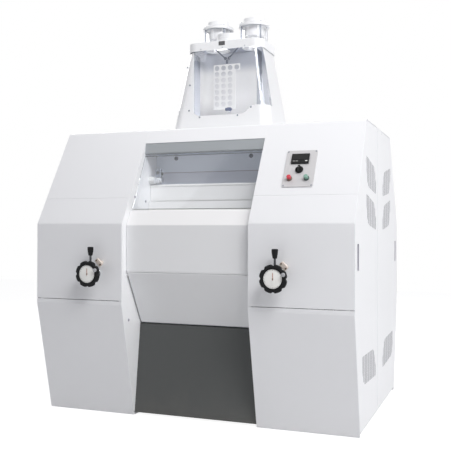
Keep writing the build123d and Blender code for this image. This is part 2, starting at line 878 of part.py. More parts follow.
# Roll arms: levers on the wall's pivots that carry the slow roll up to or away from the fast roll
with BuildPart() as roll_arms:
    with BuildSketch(Plane.YZ.offset(arm_inner_x)):
        with Locations((-slow_roll_half_depth, roll_height)):
            Circle(arm_eye_radius)
        with Locations((-arm_pivot_half_depth, arm_pivot_height)):
            Circle(arm_foot_radius)
        make_hull()
        with Locations((-(arm_face_half_depth + slow_roll_half_depth) / 2, station_height)):
            Rectangle(arm_eye_radius, arm_pad_height)
        with Locations((-slow_roll_half_depth, roll_height)):
            Circle(seat_radius + running_gap, mode=Mode.SUBTRACT)
        with Locations((-arm_pivot_half_depth, arm_pivot_height)):
            Circle(arm_pivot_radius + running_gap, mode=Mode.SUBTRACT)
    extrude(amount=arm_width)
    mirror(about=Plane.YZ)
write_front_and_rear(roll_arms.part, "roll_arms")


# Differential gears: the fast roll's pinion has a tooth on the centre line, the slow wheel a gap
def gear(teeth, half_depth, first_tooth):
    """A spur gear on a roll's right shaft end, with straight-sided teeth."""
    pitch_radius = gear_module * teeth / 2
    half_tooth = math.pi * gear_module / 4 - tooth_play / 2
    addendum = addendum_ratio * gear_module
    dedendum = dedendum_ratio * gear_module
    slant = math.tan(math.radians(tooth_slant))
    with BuildPart() as wheel:
        with BuildSketch(Plane.YZ.offset(gear_start)):
            with Locations((-half_depth, roll_height)):
                Circle(pitch_radius - dedendum)
                with PolarLocations(pitch_radius, teeth, start_angle=first_tooth):
                    Polygon(
                        (-dedendum - tooth_play, -half_tooth - dedendum * slant),
                        (addendum, -half_tooth + addendum * slant),
                        (addendum, half_tooth - addendum * slant),
                        (-dedendum - tooth_play, half_tooth + dedendum * slant),
                    )
                Circle(shaft_radius + running_gap, mode=Mode.SUBTRACT)
        extrude(amount=gear_width)
    return wheel.part


write_front_and_rear(gear(fast_teeth, fast_roll_half_depth, 180.0), "fast_gear")
write_front_and_rear(gear(slow_teeth, slow_roll_half_depth, 180.0 / slow_teeth), "slow_gear")

# Belt pulleys on the left ends of the fast rolls, turned with V grooves
with BuildPart() as belt_pulley:
    with BuildSketch(Plane.XY.offset(roll_height)):
        with BuildLine():
            inner_radius = shaft_radius + running_gap
            rim_radius = pulley_radius - pulley_rim
            web_start = (pulley_width - pulley_web) / 2
            rim_points = [(pulley_width, rim_radius), (pulley_width, pulley_radius)]
            for index in range(groove_count):
                middle = pulley_width / 2 + ((groove_count - 1) / 2 - index) * groove_pitch
                rim_points.append((middle + groove_half_width, pulley_radius))
                rim_points.append((middle + groove_foot_half_width, pulley_radius - groove_depth))
                rim_points.append((middle - groove_foot_half_width, pulley_radius - groove_depth))
                rim_points.append((middle - groove_half_width, pulley_radius))
            half_section = [
                (0, inner_radius),
                (pulley_width, inner_radius),
                (pulley_width, pulley_hub_radius),
                (web_start + pulley_web, pulley_hub_radius),
                (web_start + pulley_web, rim_radius),
                *rim_points,
                (0, pulley_radius),
                (0, rim_radius),
                (web_start, rim_radius),
                (web_start, pulley_hub_radius),
                (0, pulley_hub_radius),
            ]
            Polyline(
                *[(-pulley_start - x, -fast_roll_half_depth - radius) for x, radius in half_section],
                close=True,
            )
        make_face()
    revolve(axis=Axis((0, -fast_roll_half_depth, roll_height), (1, 0, 0)))
write_front_and_rear(belt_pulley.part, "belt_pulley")

# Discharge hoppers: a collar between the walls, a funnel and a flange on the base plate
with BuildPart() as discharge_hoppers:
    funnel_top = hopper_top_height - hopper_collar
    top_depth = hopper_far_half_depth - hopper_near_half_depth
    top_centre = -(hopper_far_half_depth + hopper_near_half_depth) / 2
    for wall, mode in ((0.0, Mode.ADD), (sheet, Mode.SUBTRACT)):
        with BuildSketch(Plane.XY.offset(funnel_top)):
            with Locations((0, top_centre)):
                Rectangle(bay_width - 2 * wall, top_depth - 2 * wall)
        extrude(amount=hopper_collar, mode=mode)
        with BuildSketch(Plane.XY.offset(base_thickness)):
            with Locations((0, -hopper_outlet_half_depth)):
                outlet = hopper_outlet_size + 2 * sheet - 2 * wall
                Rectangle(outlet, outlet)
        with BuildSketch(Plane.XY.offset(funnel_top)):
            with Locations((0, top_centre)):
                Rectangle(bay_width - 2 * wall, top_depth - 2 * wall)
        loft(mode=mode)
    with BuildSketch(Plane.XY.offset(base_thickness)):
        with Locations((0, -hopper_outlet_half_depth)):
            Rectangle(hopper_outlet_size + 2 * hopper_flange, hopper_outlet_size + 2 * hopper_flange)
            Rectangle(hopper_outlet_size, hopper_outlet_size, mode=Mode.SUBTRACT)
    extrude(amount=hopper_flange_thickness)
    mirror(about=Plane.XZ)
write(discharge_hoppers.part, "discharge_hoppers")

# Adjusting stations: a plane on the casing's face at each corner, its Z pointing at the operator
stations = {}
for face_name, face_way in (("front", -1), ("rear", 1)):
    for side_name, side_way in (("left", -1), ("right", 1)):
        stations[f"{face_name}_{side_name}"] = Plane(
            origin=(side_way * station_x, face_way * knee_half_depth, station_height),
            x_dir=(-face_way, 0, 0),
            z_dir=(0, face_way, 0),
        )

# Bushes of the spindles, and the clamp block on a stem beside each
with BuildPart() as spindle_bushes:
    for station in stations.values():
        with BuildSketch(station.offset(-bush_tail)):
            Circle(bush_radius)
        extrude(amount=bush_tail + bush_nose)
        with BuildSketch(station):
            Circle(bush_flange_radius)
        extrude(amount=bush_flange_thickness)
        with BuildSketch(station.offset(-bush_tail)):
            Circle(spindle_radius + running_gap)
        extrude(amount=bush_tail + bush_nose, mode=Mode.SUBTRACT)
        with BuildSketch(station):
            with Locations((clamp_x, clamp_y)):
                Circle(clamp_stem_radius)
        extrude(amount=clamp_depth)
        with BuildSketch(station.offset(clamp_depth)):
            with Locations((clamp_x, clamp_y)):
                RectangleRounded(clamp_length, clamp_width, clamp_round, rotation=clamp_tilt)
        extrude(amount=-clamp_thickness)
write(spindle_bushes.part, "spindle_bushes")

spindle_reach = knee_half_depth - arm_face_half_depth - spindle_tip_gap
crank_x = crank_radius * math.cos(math.radians(crank_angle))
crank_y = crank_radius * math.sin(math.radians(crank_angle))
ring_start = bush_nose - lever_ring_width
rod_level = ring_start + lever_ring_width / 2

# Handwheel: lobed wheel, its spindle, the dial set in its face and a finger knob
with BuildPart() as handwheel:
    with BuildSketch(Plane.XY.offset(wheel_back)):
        Circle(wheel_radius)
        with PolarLocations(wheel_radius + wheel_notch_radius - wheel_notch_depth, wheel_lobes):
            Circle(wheel_notch_radius, mode=Mode.SUBTRACT)
    extrude(amount=wheel_thickness)
    chamfer(handwheel.faces().filter_by(Axis.Z).edges(), wheel_chamfer)
    with BuildSketch(Plane.XY.offset(wheel_face - dial_recess)):
        Circle(dial_radius + loose_gap)
    extrude(amount=dial_recess, mode=Mode.SUBTRACT)
    with BuildSketch(Plane.XY.offset(wheel_back - wheel_hub_length)):
        Circle(wheel_hub_radius)
    extrude(amount=wheel_hub_length)
    with BuildSketch(Plane.XY.offset(-spindle_reach)):
        Circle(spindle_radius)
    extrude(amount=spindle_reach + wheel_back)
    with BuildSketch(Plane.XY.offset(wheel_face - dial_recess)):
        Circle(dial_radius)
    extrude(amount=dial_thickness)
    with BuildSketch(Plane.XY.offset(wheel_face)):
        with Locations((crank_x, crank_y)):
            Circle(crank_stem_radius)
    extrude(amount=crank_stem_length)
    with BuildSketch(Plane.XY.offset(wheel_face + crank_stem_length)):
        with Locations((crank_x, crank_y)):
            Circle(crank_knob_foot_radius)
    with BuildSketch(Plane.XY.offset(wheel_face + crank_stem_length + crank_knob_length)):
        with Locations((crank_x, crank_y)):
            Circle(crank_knob_radius)
    loft()
    fillet(handwheel.edges().group_by(Axis.Z)[-1], crank_knob_round)

# Engaging lever: a ring on the bush, a rod and a tapered grip
with BuildPart() as lever:
    rod_plane = Plane(origin=(0, 0, rod_level), z_dir=(0, 1, 0))
    with BuildSketch(Plane.XY.offset(ring_start)):
        Circle(lever_ring_radius)
    extrude(amount=lever_ring_width)
    with BuildSketch(rod_plane):
        Circle(lever_rod_radius)
    extrude(amount=grip_start)
    with BuildSketch(Plane.XY.offset(ring_start)):
        Circle(bush_radius + running_gap)
    extrude(amount=lever_ring_width, mode=Mode.SUBTRACT)
    with BuildSketch(rod_plane.offset(grip_start)):
        Circle(grip_foot_radius)
    with BuildSketch(rod_plane.offset(grip_start + grip_length)):
        Circle(grip_top_radius)
    loft()
    fillet(lever.edges().group_by(Axis.Y)[-1], grip_round)

for station_name, station in stations.items():
    write(handwheel.part.moved(station.location), f"{station_name}_handwheel")
    write(lever.part.moved(station.location), f"{station_name}_lever")

# Control plate and its fittings on the slope
slope_plane = Plane(
    origin=(0, -knee_half_depth, upper_knee_height),
    x_dir=(1, 0, 0),
    z_dir=(0, -slope_rise, slope_run),
)
slope_axis = Axis(slope_plane.origin, slope_plane.z_dir)
plate_face = slope_plane.offset(plate_thickness)
with BuildPart() as control_plate:
    with BuildSketch(slope_plane):
        with Locations((plate_x, plate_climb)):
            RectangleRounded(plate_width, plate_length, plate_corner)
    extrude(amount=plate_thickness)
write(control_plate.part, "control_plate")

with BuildPart() as panel_fittings:
    with BuildSketch(plate_face):
        with Locations((plate_x + display_shift, plate_climb + display_rise)):
            Rectangle(display_width, display_length)
    extrude(amount=display_thickness)
    for button_shift in (stop_shift, start_shift):
        with BuildSketch(plate_face):
            with Locations((plate_x + button_shift, button_climb)):
                Circle(bezel_radius)
        extrude(amount=bezel_height, taper=bezel_taper)
        with BuildSketch(plate_face):
            with Locations((plate_x + button_shift, button_climb)):
                Circle(button_radius + loose_gap)
        extrude(amount=bezel_height, mode=Mode.SUBTRACT)
write(panel_fittings.part, "panel_fittings")

for button_name, button_shift in (("stop_button", stop_shift), ("start_button", start_shift)):
    with BuildPart() as button:
        with BuildSketch(plate_face.offset(button_travel + loose_gap)):
            with Locations((plate_x + button_shift, button_climb)):
                Circle(button_radius)
        extrude(amount=button_height)
        fillet(button.edges().sort_by(slope_axis)[-1], button_round)
    write(button.part, button_name)

with BuildPart() as selector_knob:
    with BuildSketch(plate_face.offset(loose_gap)):
        with Locations(selector_place):
            Circle(selector_radius)
    extrude(amount=selector_base)
    with BuildSketch(plate_face.offset(loose_gap + selector_base)):
        with Locations(selector_place):
            SlotOverall(selector_grip_length, selector_grip_width, rotation=90)
    extrude(amount=selector_grip_height)
write(selector_knob.part, "selector_knob")


# Inlet hood: tapered walls with round corners; the front is cut out for a clear window
def hood_loft(inset):
    """Tapered block of the hood, inside its outer face by inset."""
    with BuildPart() as block:
        with BuildSketch(Plane.XY.offset(roof_height)):
            RectangleRounded(hood_base_width - 2 * inset, hood_base_depth - 2 * inset, hood_corner - inset)
        with BuildSketch(Plane.XY.offset(hood_top_height)):
            RectangleRounded(hood_top_width - 2 * inset, hood_top_depth - 2 * inset, hood_corner - inset)
        loft()
    return block.part


def window_zone():
    """Space in front of the hood's window line and above the window's stepped foot."""
    foot = hood_window_foot
    shoulder = foot + hood_window_step
    middle_x = (hood_window_step_inner + hood_window_step_outer) / 2
    with BuildPart() as zone:
        with BuildSketch(Plane.XZ.offset(-hood_window_rear)):
            with BuildLine():
                for way in (-1, 1):
                    Line((0, foot), (way * hood_window_step_inner, foot))
                    Spline(
                        (way * hood_window_step_inner, foot),
                        (way * middle_x, (foot + shoulder) / 2),
                        (way * hood_window_step_outer, shoulder),
                        tangents=[(way, 0), (way, 0)],
                    )
                    Line((way * hood_window_step_outer, shoulder), (way * half_bay, shoulder))
                    Line((way * half_bay, shoulder), (way * half_bay, hood_top_height))
                Line((-half_bay, hood_top_height), (half_bay, hood_top_height))
            make_face()
        extrude(amount=hood_base_depth)
    return zone.part


with BuildPart() as hood_shell:
    add(hood_loft(0))
    add(hood_loft(sheet), mode=Mode.SUBTRACT)
    add(window_zone(), mode=Mode.SUBTRACT)
write(hood_shell.part, "hood_shell")

with BuildPart() as hood_window:
    add(hood_loft(0))
    add(hood_loft(sheet), mode=Mode.SUBTRACT)
    add(window_zone(), mode=Mode.INTERSECT)
write(hood_window.part, "hood_window")

# Cap of the hood: a rim, a top plate let into it and, in front, the short aspiration spigot on it
with BuildPart() as cap_rim:
    with BuildSketch(Plane.XY.offset(hood_top_height - cap_skirt)):
        RectangleRounded(cap_width, cap_depth, hood_corner)
    extrude(amount=cap_skirt + sheet)
    chamfer(cap_rim.edges().group_by(Axis.Z)[-1], sheet / 2)
    with BuildSketch(Plane.XY.offset(hood_top_height - cap_skirt)):
        RectangleRounded(cap_width - 2 * sheet, cap_depth - 2 * sheet, hood_corner - sheet)
    extrude(amount=cap_skirt + sheet, mode=Mode.SUBTRACT)
with BuildPart() as cap_plate:
    with BuildSketch(Plane.XY.offset(hood_top_height)):
        RectangleRounded(cap_width - 2 * sheet, cap_depth - 2 * sheet, hood_corner - sheet)
        with Locations((0, aspiration_y)):
            Circle(aspiration_radius - aspiration_wall, mode=Mode.SUBTRACT)
        with Locations((-spout_x, spout_y), (spout_x, spout_y)):
            Circle(glass_radius - glass_wall, mode=Mode.SUBTRACT)
    extrude(amount=sheet)
with BuildPart() as aspiration_spigot:
    with BuildSketch(Plane.XY.offset(cap_top)):
        with Locations((0, aspiration_y)):
            Circle(aspiration_radius)
            Circle(aspiration_radius - aspiration_wall, mode=Mode.SUBTRACT)
    extrude(amount=aspiration_height)
cap_pieces = (cap_rim, cap_plate, aspiration_spigot)
write(Compound([solid for piece in cap_pieces for solid in piece.part.solids()]), "hood_cap")

# Sight glasses, and the inlet spouts that they hold up between tie rods
spout_places = [(-spout_x, spout_y), (spout_x, spout_y)]
with BuildPart() as sight_glasses:
    with BuildSketch(Plane.XY.offset(cap_top)):
        with Locations(spout_places):
            Circle(glass_radius)
            Circle(glass_radius - glass_wall, mode=Mode.SUBTRACT)
    extrude(amount=glass_height)
write(sight_glasses.part, "sight_glasses")

with BuildPart() as inlet_spouts:
    with Locations(*[(x, y, glass_top) for x, y in spout_places]):
        Cylinder(
            spout_flange_radius,
            spout_flange_thickness,
            align=(Align.CENTER, Align.CENTER, Align.MIN),
        )
    with Locations(*[(x, y, glass_top - spout_drop) for x, y in spout_places]):
        Cylinder(
            spout_radius,
            spout_top - glass_top + spout_drop,
            align=(Align.CENTER, Align.CENTER, Align.MIN),
        )
    with Locations(*[(x, y, spout_top) for x, y in spout_places]):
        Cylinder(
            spout_collar_radius,
            spout_collar_height,
            align=(Align.CENTER, Align.CENTER, Align.MAX),
        )
        Cylinder(
            spout_bore_radius,
            spout_top - glass_top + spout_drop,
            align=(Align.CENTER, Align.CENTER, Align.MAX),
            mode=Mode.SUBTRACT,
        )
    for x, y in spout_places:
        with BuildSketch(Plane.XY.offset(cap_top)):
            with Locations((x, y)):
                with PolarLocations(tie_rod_circle, tie_rods_per_glass, start_angle=45):
                    Circle(tie_rod_radius)
        extrude(amount=glass_height)
write(inlet_spouts.part, "inlet_spouts")

# Feeler hanger: two rods in a V under the cap, with an eye at the foot of each
eye_start = feeler_stem_width / 2 + hanger_eye_gap
eye_middle = eye_start + hanger_radius
leg_run = hanger_half_span - eye_middle
leg_rise = hood_top_height - feeler_pivot_height
with BuildPart() as feeler_hanger:
    for way in (-1, 1):
        eye_foot = (way * eye_middle, feeler_y, feeler_pivot_height)
        with BuildSketch(Plane(origin=eye_foot, x_dir=(0, 1, 0), z_dir=(way * leg_run, 0, leg_rise))):
            Circle(hanger_radius)
        extrude(amount=leg_run + leg_rise)
    split(bisect_by=Plane.XY.offset(hood_top_height), keep=Keep.BOTTOM)
    for way in (-1, 1):
        with BuildSketch(Plane.YZ.offset(way * eye_start)):
            with Locations((feeler_y, feeler_pivot_height)):
                Circle(hanger_eye_radius)
        extrude(amount=way * 2 * hanger_radius)
        with BuildSketch(Plane.YZ.offset(way * eye_start)):
            with Locations((feeler_y, feeler_pivot_height)):
                Circle(feeler_pin_radius + running_gap)
        extrude(amount=way * 4 * hanger_radius, mode=Mode.SUBTRACT)
write(feeler_hanger.part, "feeler_hanger")

# Feeler plate with its stem, hub and pivot pin
feeler_left = -feeler_strip_width / 2
feeler_top = feeler_pivot_height - feeler_top_drop
with BuildPart() as feeler_plate:
    with BuildSketch(Plane.XZ.offset(-feeler_y - feeler_thickness / 2)):
        with Locations((feeler_left, feeler_top)):
            Rectangle(feeler_strip_width, feeler_strip_height, align=(Align.MIN, Align.MAX))
            Rectangle(feeler_plate_width, feeler_length, align=(Align.MIN, Align.MAX))
        for row in range(feeler_hole_rows):
            for column in range(feeler_hole_columns + (row == 0)):
                hole_x = feeler_left + feeler_hole_margin + column * feeler_hole_pitch_x
                hole_z = feeler_top - feeler_hole_margin - row * feeler_hole_pitch_z
                with Locations((hole_x, hole_z)):
                    Circle(feeler_hole_radius, mode=Mode.SUBTRACT)
        with Locations((0, feeler_pivot_height)):
            Rectangle(feeler_stem_width, feeler_top_drop, align=(Align.CENTER, Align.MAX))
    extrude(amount=feeler_thickness)
    for radius, half_length in (
        (feeler_hub_radius, feeler_stem_width / 2),
        (feeler_pin_radius, eye_start + 2 * hanger_radius),
    ):
        with BuildSketch(Plane.YZ.offset(-half_length)):
            with Locations((feeler_y, feeler_pivot_height)):
                Circle(radius)
        extrude(amount=2 * half_length)
write(feeler_plate.part, "feeler_plate")
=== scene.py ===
# %% [markdown]
# # A flour mill, dressed for the studio
# The machine is already there as solids, one node for each piece that a fitter could hold. This
# lesson loads them as a frame that nothing may move, gives every piece its finish, and adds what
# solids leave out: rounded sheet edges, screws, dials, the display's glass and the fittings of the feed.

# %% Load the solids as a frame
import json
import math

import bmesh
import bpy
from mathutils import Euler, Matrix, Vector


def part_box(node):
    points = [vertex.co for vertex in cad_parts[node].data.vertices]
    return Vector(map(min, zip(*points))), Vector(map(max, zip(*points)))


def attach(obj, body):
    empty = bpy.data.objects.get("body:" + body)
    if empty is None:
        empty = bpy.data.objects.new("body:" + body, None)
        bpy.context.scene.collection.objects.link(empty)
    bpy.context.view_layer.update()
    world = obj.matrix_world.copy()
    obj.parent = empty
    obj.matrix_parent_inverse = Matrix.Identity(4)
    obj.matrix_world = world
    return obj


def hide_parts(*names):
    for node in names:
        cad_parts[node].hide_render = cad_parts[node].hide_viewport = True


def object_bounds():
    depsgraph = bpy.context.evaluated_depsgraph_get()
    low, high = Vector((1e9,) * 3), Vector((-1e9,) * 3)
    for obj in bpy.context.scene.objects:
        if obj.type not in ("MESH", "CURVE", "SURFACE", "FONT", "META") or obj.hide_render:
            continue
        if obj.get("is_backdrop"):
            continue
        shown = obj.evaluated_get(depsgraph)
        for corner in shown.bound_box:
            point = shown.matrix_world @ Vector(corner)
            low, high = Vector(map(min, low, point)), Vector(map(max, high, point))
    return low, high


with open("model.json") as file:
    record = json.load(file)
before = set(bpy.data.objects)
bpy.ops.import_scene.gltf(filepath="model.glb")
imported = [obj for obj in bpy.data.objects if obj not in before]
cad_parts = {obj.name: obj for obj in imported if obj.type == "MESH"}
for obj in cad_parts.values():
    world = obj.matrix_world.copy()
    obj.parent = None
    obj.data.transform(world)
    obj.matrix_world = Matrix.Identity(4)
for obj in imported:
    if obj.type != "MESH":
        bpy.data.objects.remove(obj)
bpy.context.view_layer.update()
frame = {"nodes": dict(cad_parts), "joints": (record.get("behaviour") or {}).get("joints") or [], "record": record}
scene = bpy.context.scene
scene.view_settings.view_transform = "Standard"
record = frame["record"]
body_of = {node: body for body, nodes in record["behaviour"]["bodies"].items() for node in nodes}
joint_of = {joint["name"]: joint for joint in frame["joints"]}

# %% [markdown]
# ## Camera
# The photograph was taken from the right of the machine's front, at chest height, so upright edges
# stay nearly upright. A camera without turns looks straight down. The first Euler value lifts its gaze
# to the horizon along +Y, the second rolls it about that line, and the third swings it round.

# %% Place the camera
camera_data = bpy.data.cameras.new("studio_camera")
camera_data.sensor_width = 36.0
camera_data.lens = 57.99
camera = bpy.data.objects.new("studio_camera", camera_data)
camera.location = (1.6486, -4.4333, 1.0787)
camera.rotation_euler = Euler([math.radians(turn) for turn in (90.469, -0.151, 20.909)])
scene.collection.objects.link(camera)
scene.camera = camera
print("camera", tuple(round(value, 3) for value in camera.location))

# %% [markdown]
# ## Light
# White sheet metal shows its shape only through soft differences. The room gives a plain even light.
# Two softboxes high on the front right reach under the header, lay the shadows of the handwheels and
# draw a bright strip down the bent corner of the hood. A wide lamp overhead and a weak one on the left
# brighten the slopes, one beside the machine lights its end, and one behind it its rear. Three small
# lamps reach what these can't: a tube at the hood's foot shines up inside it, as a sight lamp does, a
# tube behind the door's lip shines at the gate, and a soft square hangs before the sight glasses. The
# background is white for the camera and for reflections alone: Light Path tells those rays apart, and
# the light that falls on the machine keeps its own level.

# %% Light the room
room_level = 0.19
room_tint = (0.92, 0.925, 1.0, 1.0)
paper_white = (1.0, 1.0, 1.0, 1.0)


def seen_rays(tree):
    """1 for camera, mirror and glass rays, 0 for the rays that carry light from wall to wall."""
    path = tree.nodes.new("ShaderNodeLightPath")
    total = path.outputs["Is Camera Ray"]
    for ray in ("Is Glossy Ray", "Is Transmission Ray"):
        larger = tree.nodes.new("ShaderNodeMath")
        larger.operation = "MAXIMUM"
        tree.links.new(total, larger.inputs[0])
        tree.links.new(path.outputs[ray], larger.inputs[1])
        total = larger.outputs[0]
    return total


def mixed(tree, factor, first, second):
    """Mix two shaders by a factor."""
    mix = tree.nodes.new("ShaderNodeMixShader")
    for socket, source in zip(mix.inputs, (factor, first, second)):
        tree.links.new(source, socket)
    return mix.outputs[0]


def plain_shader(tree, kind, colour):
    """A shader node that has one flat colour."""
    node = tree.nodes.new(kind)
    node.inputs["Color"].default_value = colour
    return node


world = bpy.data.worlds.new("studio")
world.use_nodes = True
scene.world = world
sky = world.node_tree
sky.nodes.clear()
room = plain_shader(sky, "ShaderNodeBackground", room_tint)
room.inputs["Strength"].default_value = room_level
paper = plain_shader(sky, "ShaderNodeBackground", paper_white)
sky_out = sky.nodes.new("ShaderNodeOutputWorld")
sky.links.new(mixed(sky, seen_rays(sky), room.outputs[0], paper.outputs[0]), sky_out.inputs["Surface"])
print("room at", room_level)

# %% Hang the lamps


def hang_lamp(name, place, aim, size, power, tint=(1.0, 1.0, 1.0)):
    """A rectangular lamp at a place, turned towards its aim."""
    lamp_data = bpy.data.lights.new(name, "AREA")
    lamp_data.shape = "RECTANGLE"
    lamp_data.size, lamp_data.size_y = size
    lamp_data.energy = power
    lamp_data.color = tint
    lamp = bpy.data.objects.new(name, lamp_data)
    lamp.location = place
    lamp.rotation_euler = (Vector(aim) - Vector(place)).to_track_quat("-Z", "Y").to_euler()
    scene.collection.objects.link(lamp)


warm, soft_warm = (1.0, 0.985, 0.965), (1.0, 0.990, 0.980)
hang_lamp("front_lamp", (3.2, -4.0, 5.4), (0.0, -0.6, 1.1), (2.2, 1.8), 173.0, soft_warm)
hang_lamp("right_lamp", (5.6, -3.2, 4.6), (0.3, -0.5, 1.0), (3.2, 2.6), 144.0)
hang_lamp("side_lamp", (4.8, 1.6, 2.2), (0.9, 0.4, 1.1), (2.4, 2.2), 37.0)
hang_lamp("top_lamp", (-0.4, -0.3, 5.6), (0.0, -0.3, 1.0), (4.0, 4.0), 62.0, warm)
hang_lamp("fill_lamp", (-3.0, -2.4, 5.2), (0.0, -0.3, 1.5), (2.5, 2.0), 11.0)
hang_lamp("sight_lamp", (0.09, -0.115, 1.700), (0.07, -0.045, 2.100), (0.26, 0.04), 1.95)
hang_lamp("bay_lamp", (0.0, -0.600, 1.185), (0.0, -0.360, 1.420), (0.62, 0.04), 0.14)
hang_lamp("glass_lamp", (-0.65, -0.75, 2.75), (0.0, 0.07, 2.38), (0.50, 0.30), 0.70)
hang_lamp("rear_lamp", (-2.6, 4.4, 3.8), (0.0, 0.4, 1.1), (3.0, 2.6), 92.0)

# %% [markdown]
# ## Floor
# The machine stands on a pale floor that melts into the background. Where the camera or a reflection
# sees it, the floor glows almost white, and a dark paint under the glow keeps the machine's shadow.
# For all other light it is plain pale paint, which throws a little light back up the casing.

# %% Lay the floor
floor_half = 9.0
floor_drop = 0.0005
lit_tone = (0.80, 0.80, 0.80, 1.0)
shade_tone = (0.24, 0.24, 0.25, 1.0)
glow_tone = (0.93, 0.93, 0.93, 1.0)


def empty_material(name):
    """A material without nodes, and its tree."""
    material = bpy.data.materials.new(name)
    material.use_nodes = True
    material.node_tree.nodes.clear()
    return material, material.node_tree


def show(tree, surface):
    """Give a material its surface."""
    out = tree.nodes.new("ShaderNodeOutputMaterial")
    tree.links.new(surface, out.inputs["Surface"])


floor_mesh = bpy.data.meshes.new("studio_floor")
floor_mesh.from_pydata(
    [(x * floor_half, y * floor_half, -floor_drop) for x, y in ((-1, -1), (1, -1), (1, 1), (-1, 1))],
    [],
    [(0, 1, 2, 3)],
)
floor = bpy.data.objects.new("studio_floor", floor_mesh)
scene.collection.objects.link(floor)
floor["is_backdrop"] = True
floor_material, floor_tree = empty_material("pale_floor")
floor_paint = plain_shader(floor_tree, "ShaderNodeBsdfDiffuse", lit_tone)
floor_shade = plain_shader(floor_tree, "ShaderNodeBsdfDiffuse", shade_tone)
floor_glow = plain_shader(floor_tree, "ShaderNodeEmission", glow_tone)
floor_sum = floor_tree.nodes.new("ShaderNodeAddShader")
floor_tree.links.new(floor_shade.outputs[0], floor_sum.inputs[0])
floor_tree.links.new(floor_glow.outputs[0], floor_sum.inputs[1])
floor_seen = seen_rays(floor_tree)
show(floor_tree, mixed(floor_tree, floor_seen, floor_paint.outputs[0], floor_sum.outputs[0]))
floor_mesh.materials.append(floor_material)
print("floor", 2 * floor_half, "m wide")

# %% [markdown]
# ## Finishes
# No real surface is one flat colour. Powder coat has a fine peel and drifts a little in tone, rolled
# steel has stretched scratches, a casting is grainy. All of that is cloudy noise at different sizes,
# so one shader group makes it, and each material gives it its own values. A second group settles
# flour dust on what faces up and along the foot, where a mop never quite reaches.

# %% Helpers for shader trees


def linear(red, green, blue):
    """A colour as read on a screen, 0 to 255, turned into the linear light of shaders."""
    parts = [part / 255 for part in (red, green, blue)]
    light = [p / 12.92 if p <= 0.04045 else ((p + 0.055) / 1.055) ** 2.4 for p in parts]
    return (*light, 1.0)


def shader_group(name, inputs, outputs):
    """An empty shader group with named sockets, given as (name, kind) pairs."""
    tree = bpy.data.node_groups.new(name, "ShaderNodeTree")
    for label, kind in inputs:
        tree.interface.new_socket(label, in_out="INPUT", socket_type=f"NodeSocket{kind}")
    for label, kind in outputs:
        tree.interface.new_socket(label, in_out="OUTPUT", socket_type=f"NodeSocket{kind}")
    return tree, tree.nodes.new("NodeGroupInput"), tree.nodes.new("NodeGroupOutput")


def feed(tree, socket, value):
    """Give an input a number, a colour or another node's output."""
    if isinstance(value, (int, float, tuple)):
        socket.default_value = value
    else:
        tree.links.new(value, socket)


def math_node(tree, operation, first, second=0.0):
    """One Math node. Each of its two values is a number or another node's output."""
    node = tree.nodes.new("ShaderNodeMath")
    node.operation = operation
    feed(tree, node.inputs[0], first)
    feed(tree, node.inputs[1], second)
    return node.outputs[0]


def noise_node(tree, place, scale, detail):
    """Cloudy noise from 0 to 1, at a scale that is a number or another node's output."""
    node = tree.nodes.new("ShaderNodeTexNoise")
    node.inputs["Detail"].default_value = detail
    tree.links.new(place, node.inputs["Vector"])
    feed(tree, node.inputs["Scale"], scale)
    return node.outputs["Fac"]


def split(tree, vector):
    """The X, Y and Z outputs of a vector."""
    node = tree.nodes.new("ShaderNodeSeparateXYZ")
    tree.links.new(vector, node.inputs[0])
    return node.outputs


# The Mix node lists sockets for numbers and vectors too, so those for colours are found by their place
mix_first, mix_second, mix_result = 6, 7, 2


def blended(tree, factor, first, second):
    """Mix a node's colour with a second one, fixed or from a node, by a factor."""
    blend = tree.nodes.new("ShaderNodeMix")
    blend.data_type = "RGBA"
    tree.links.new(factor, blend.inputs["Factor"])
    tree.links.new(first, blend.inputs[mix_first])
    feed(tree, blend.inputs[mix_second], second)
    return blend.outputs[mix_result]


print("a white of", [round(part, 3) for part in linear(238, 239, 242)], "in linear light")

# %% The surface group
cloud_detail, grain_detail = 4.0, 2.0
surface_life, inlet, outlet = shader_group(
    "surface_life",
    [
        ("Place", "Vector"),
        ("Paint", "Color"),
        ("Cloud Scale", "Float"),
        ("Cloud Amount", "Float"),
        ("Grain Scale", "Float"),
        ("Roughness", "Float"),
        ("Roughness Spread", "Float"),
    ],
    [("Colour", "Color"), ("Roughness", "Float"), ("Grain", "Float")],
)
cloud = noise_node(surface_life, inlet.outputs["Place"], inlet.outputs["Cloud Scale"], cloud_detail)
drift = math_node(surface_life, "SUBTRACT", cloud, 0.5)
tone = math_node(surface_life, "MULTIPLY", drift, inlet.outputs["Cloud Amount"])
tone = math_node(surface_life, "ADD", tone, 1.0)
tinted = surface_life.nodes.new("ShaderNodeVectorMath")
tinted.operation = "SCALE"
surface_life.links.new(inlet.outputs["Paint"], tinted.inputs[0])
surface_life.links.new(tone, tinted.inputs["Scale"])
surface_life.links.new(tinted.outputs[0], outlet.inputs["Colour"])
grain = noise_node(surface_life, inlet.outputs["Place"], inlet.outputs["Grain Scale"], grain_detail)
surface_life.links.new(grain, outlet.inputs["Grain"])
gloss = math_node(surface_life, "MULTIPLY", drift, inlet.outputs["Roughness Spread"])
gloss = math_node(surface_life, "ADD", gloss, inlet.outputs["Roughness"])
surface_life.links.new(gloss, outlet.inputs["Roughness"])
print(surface_life.name, "with", len(surface_life.nodes), "nodes")

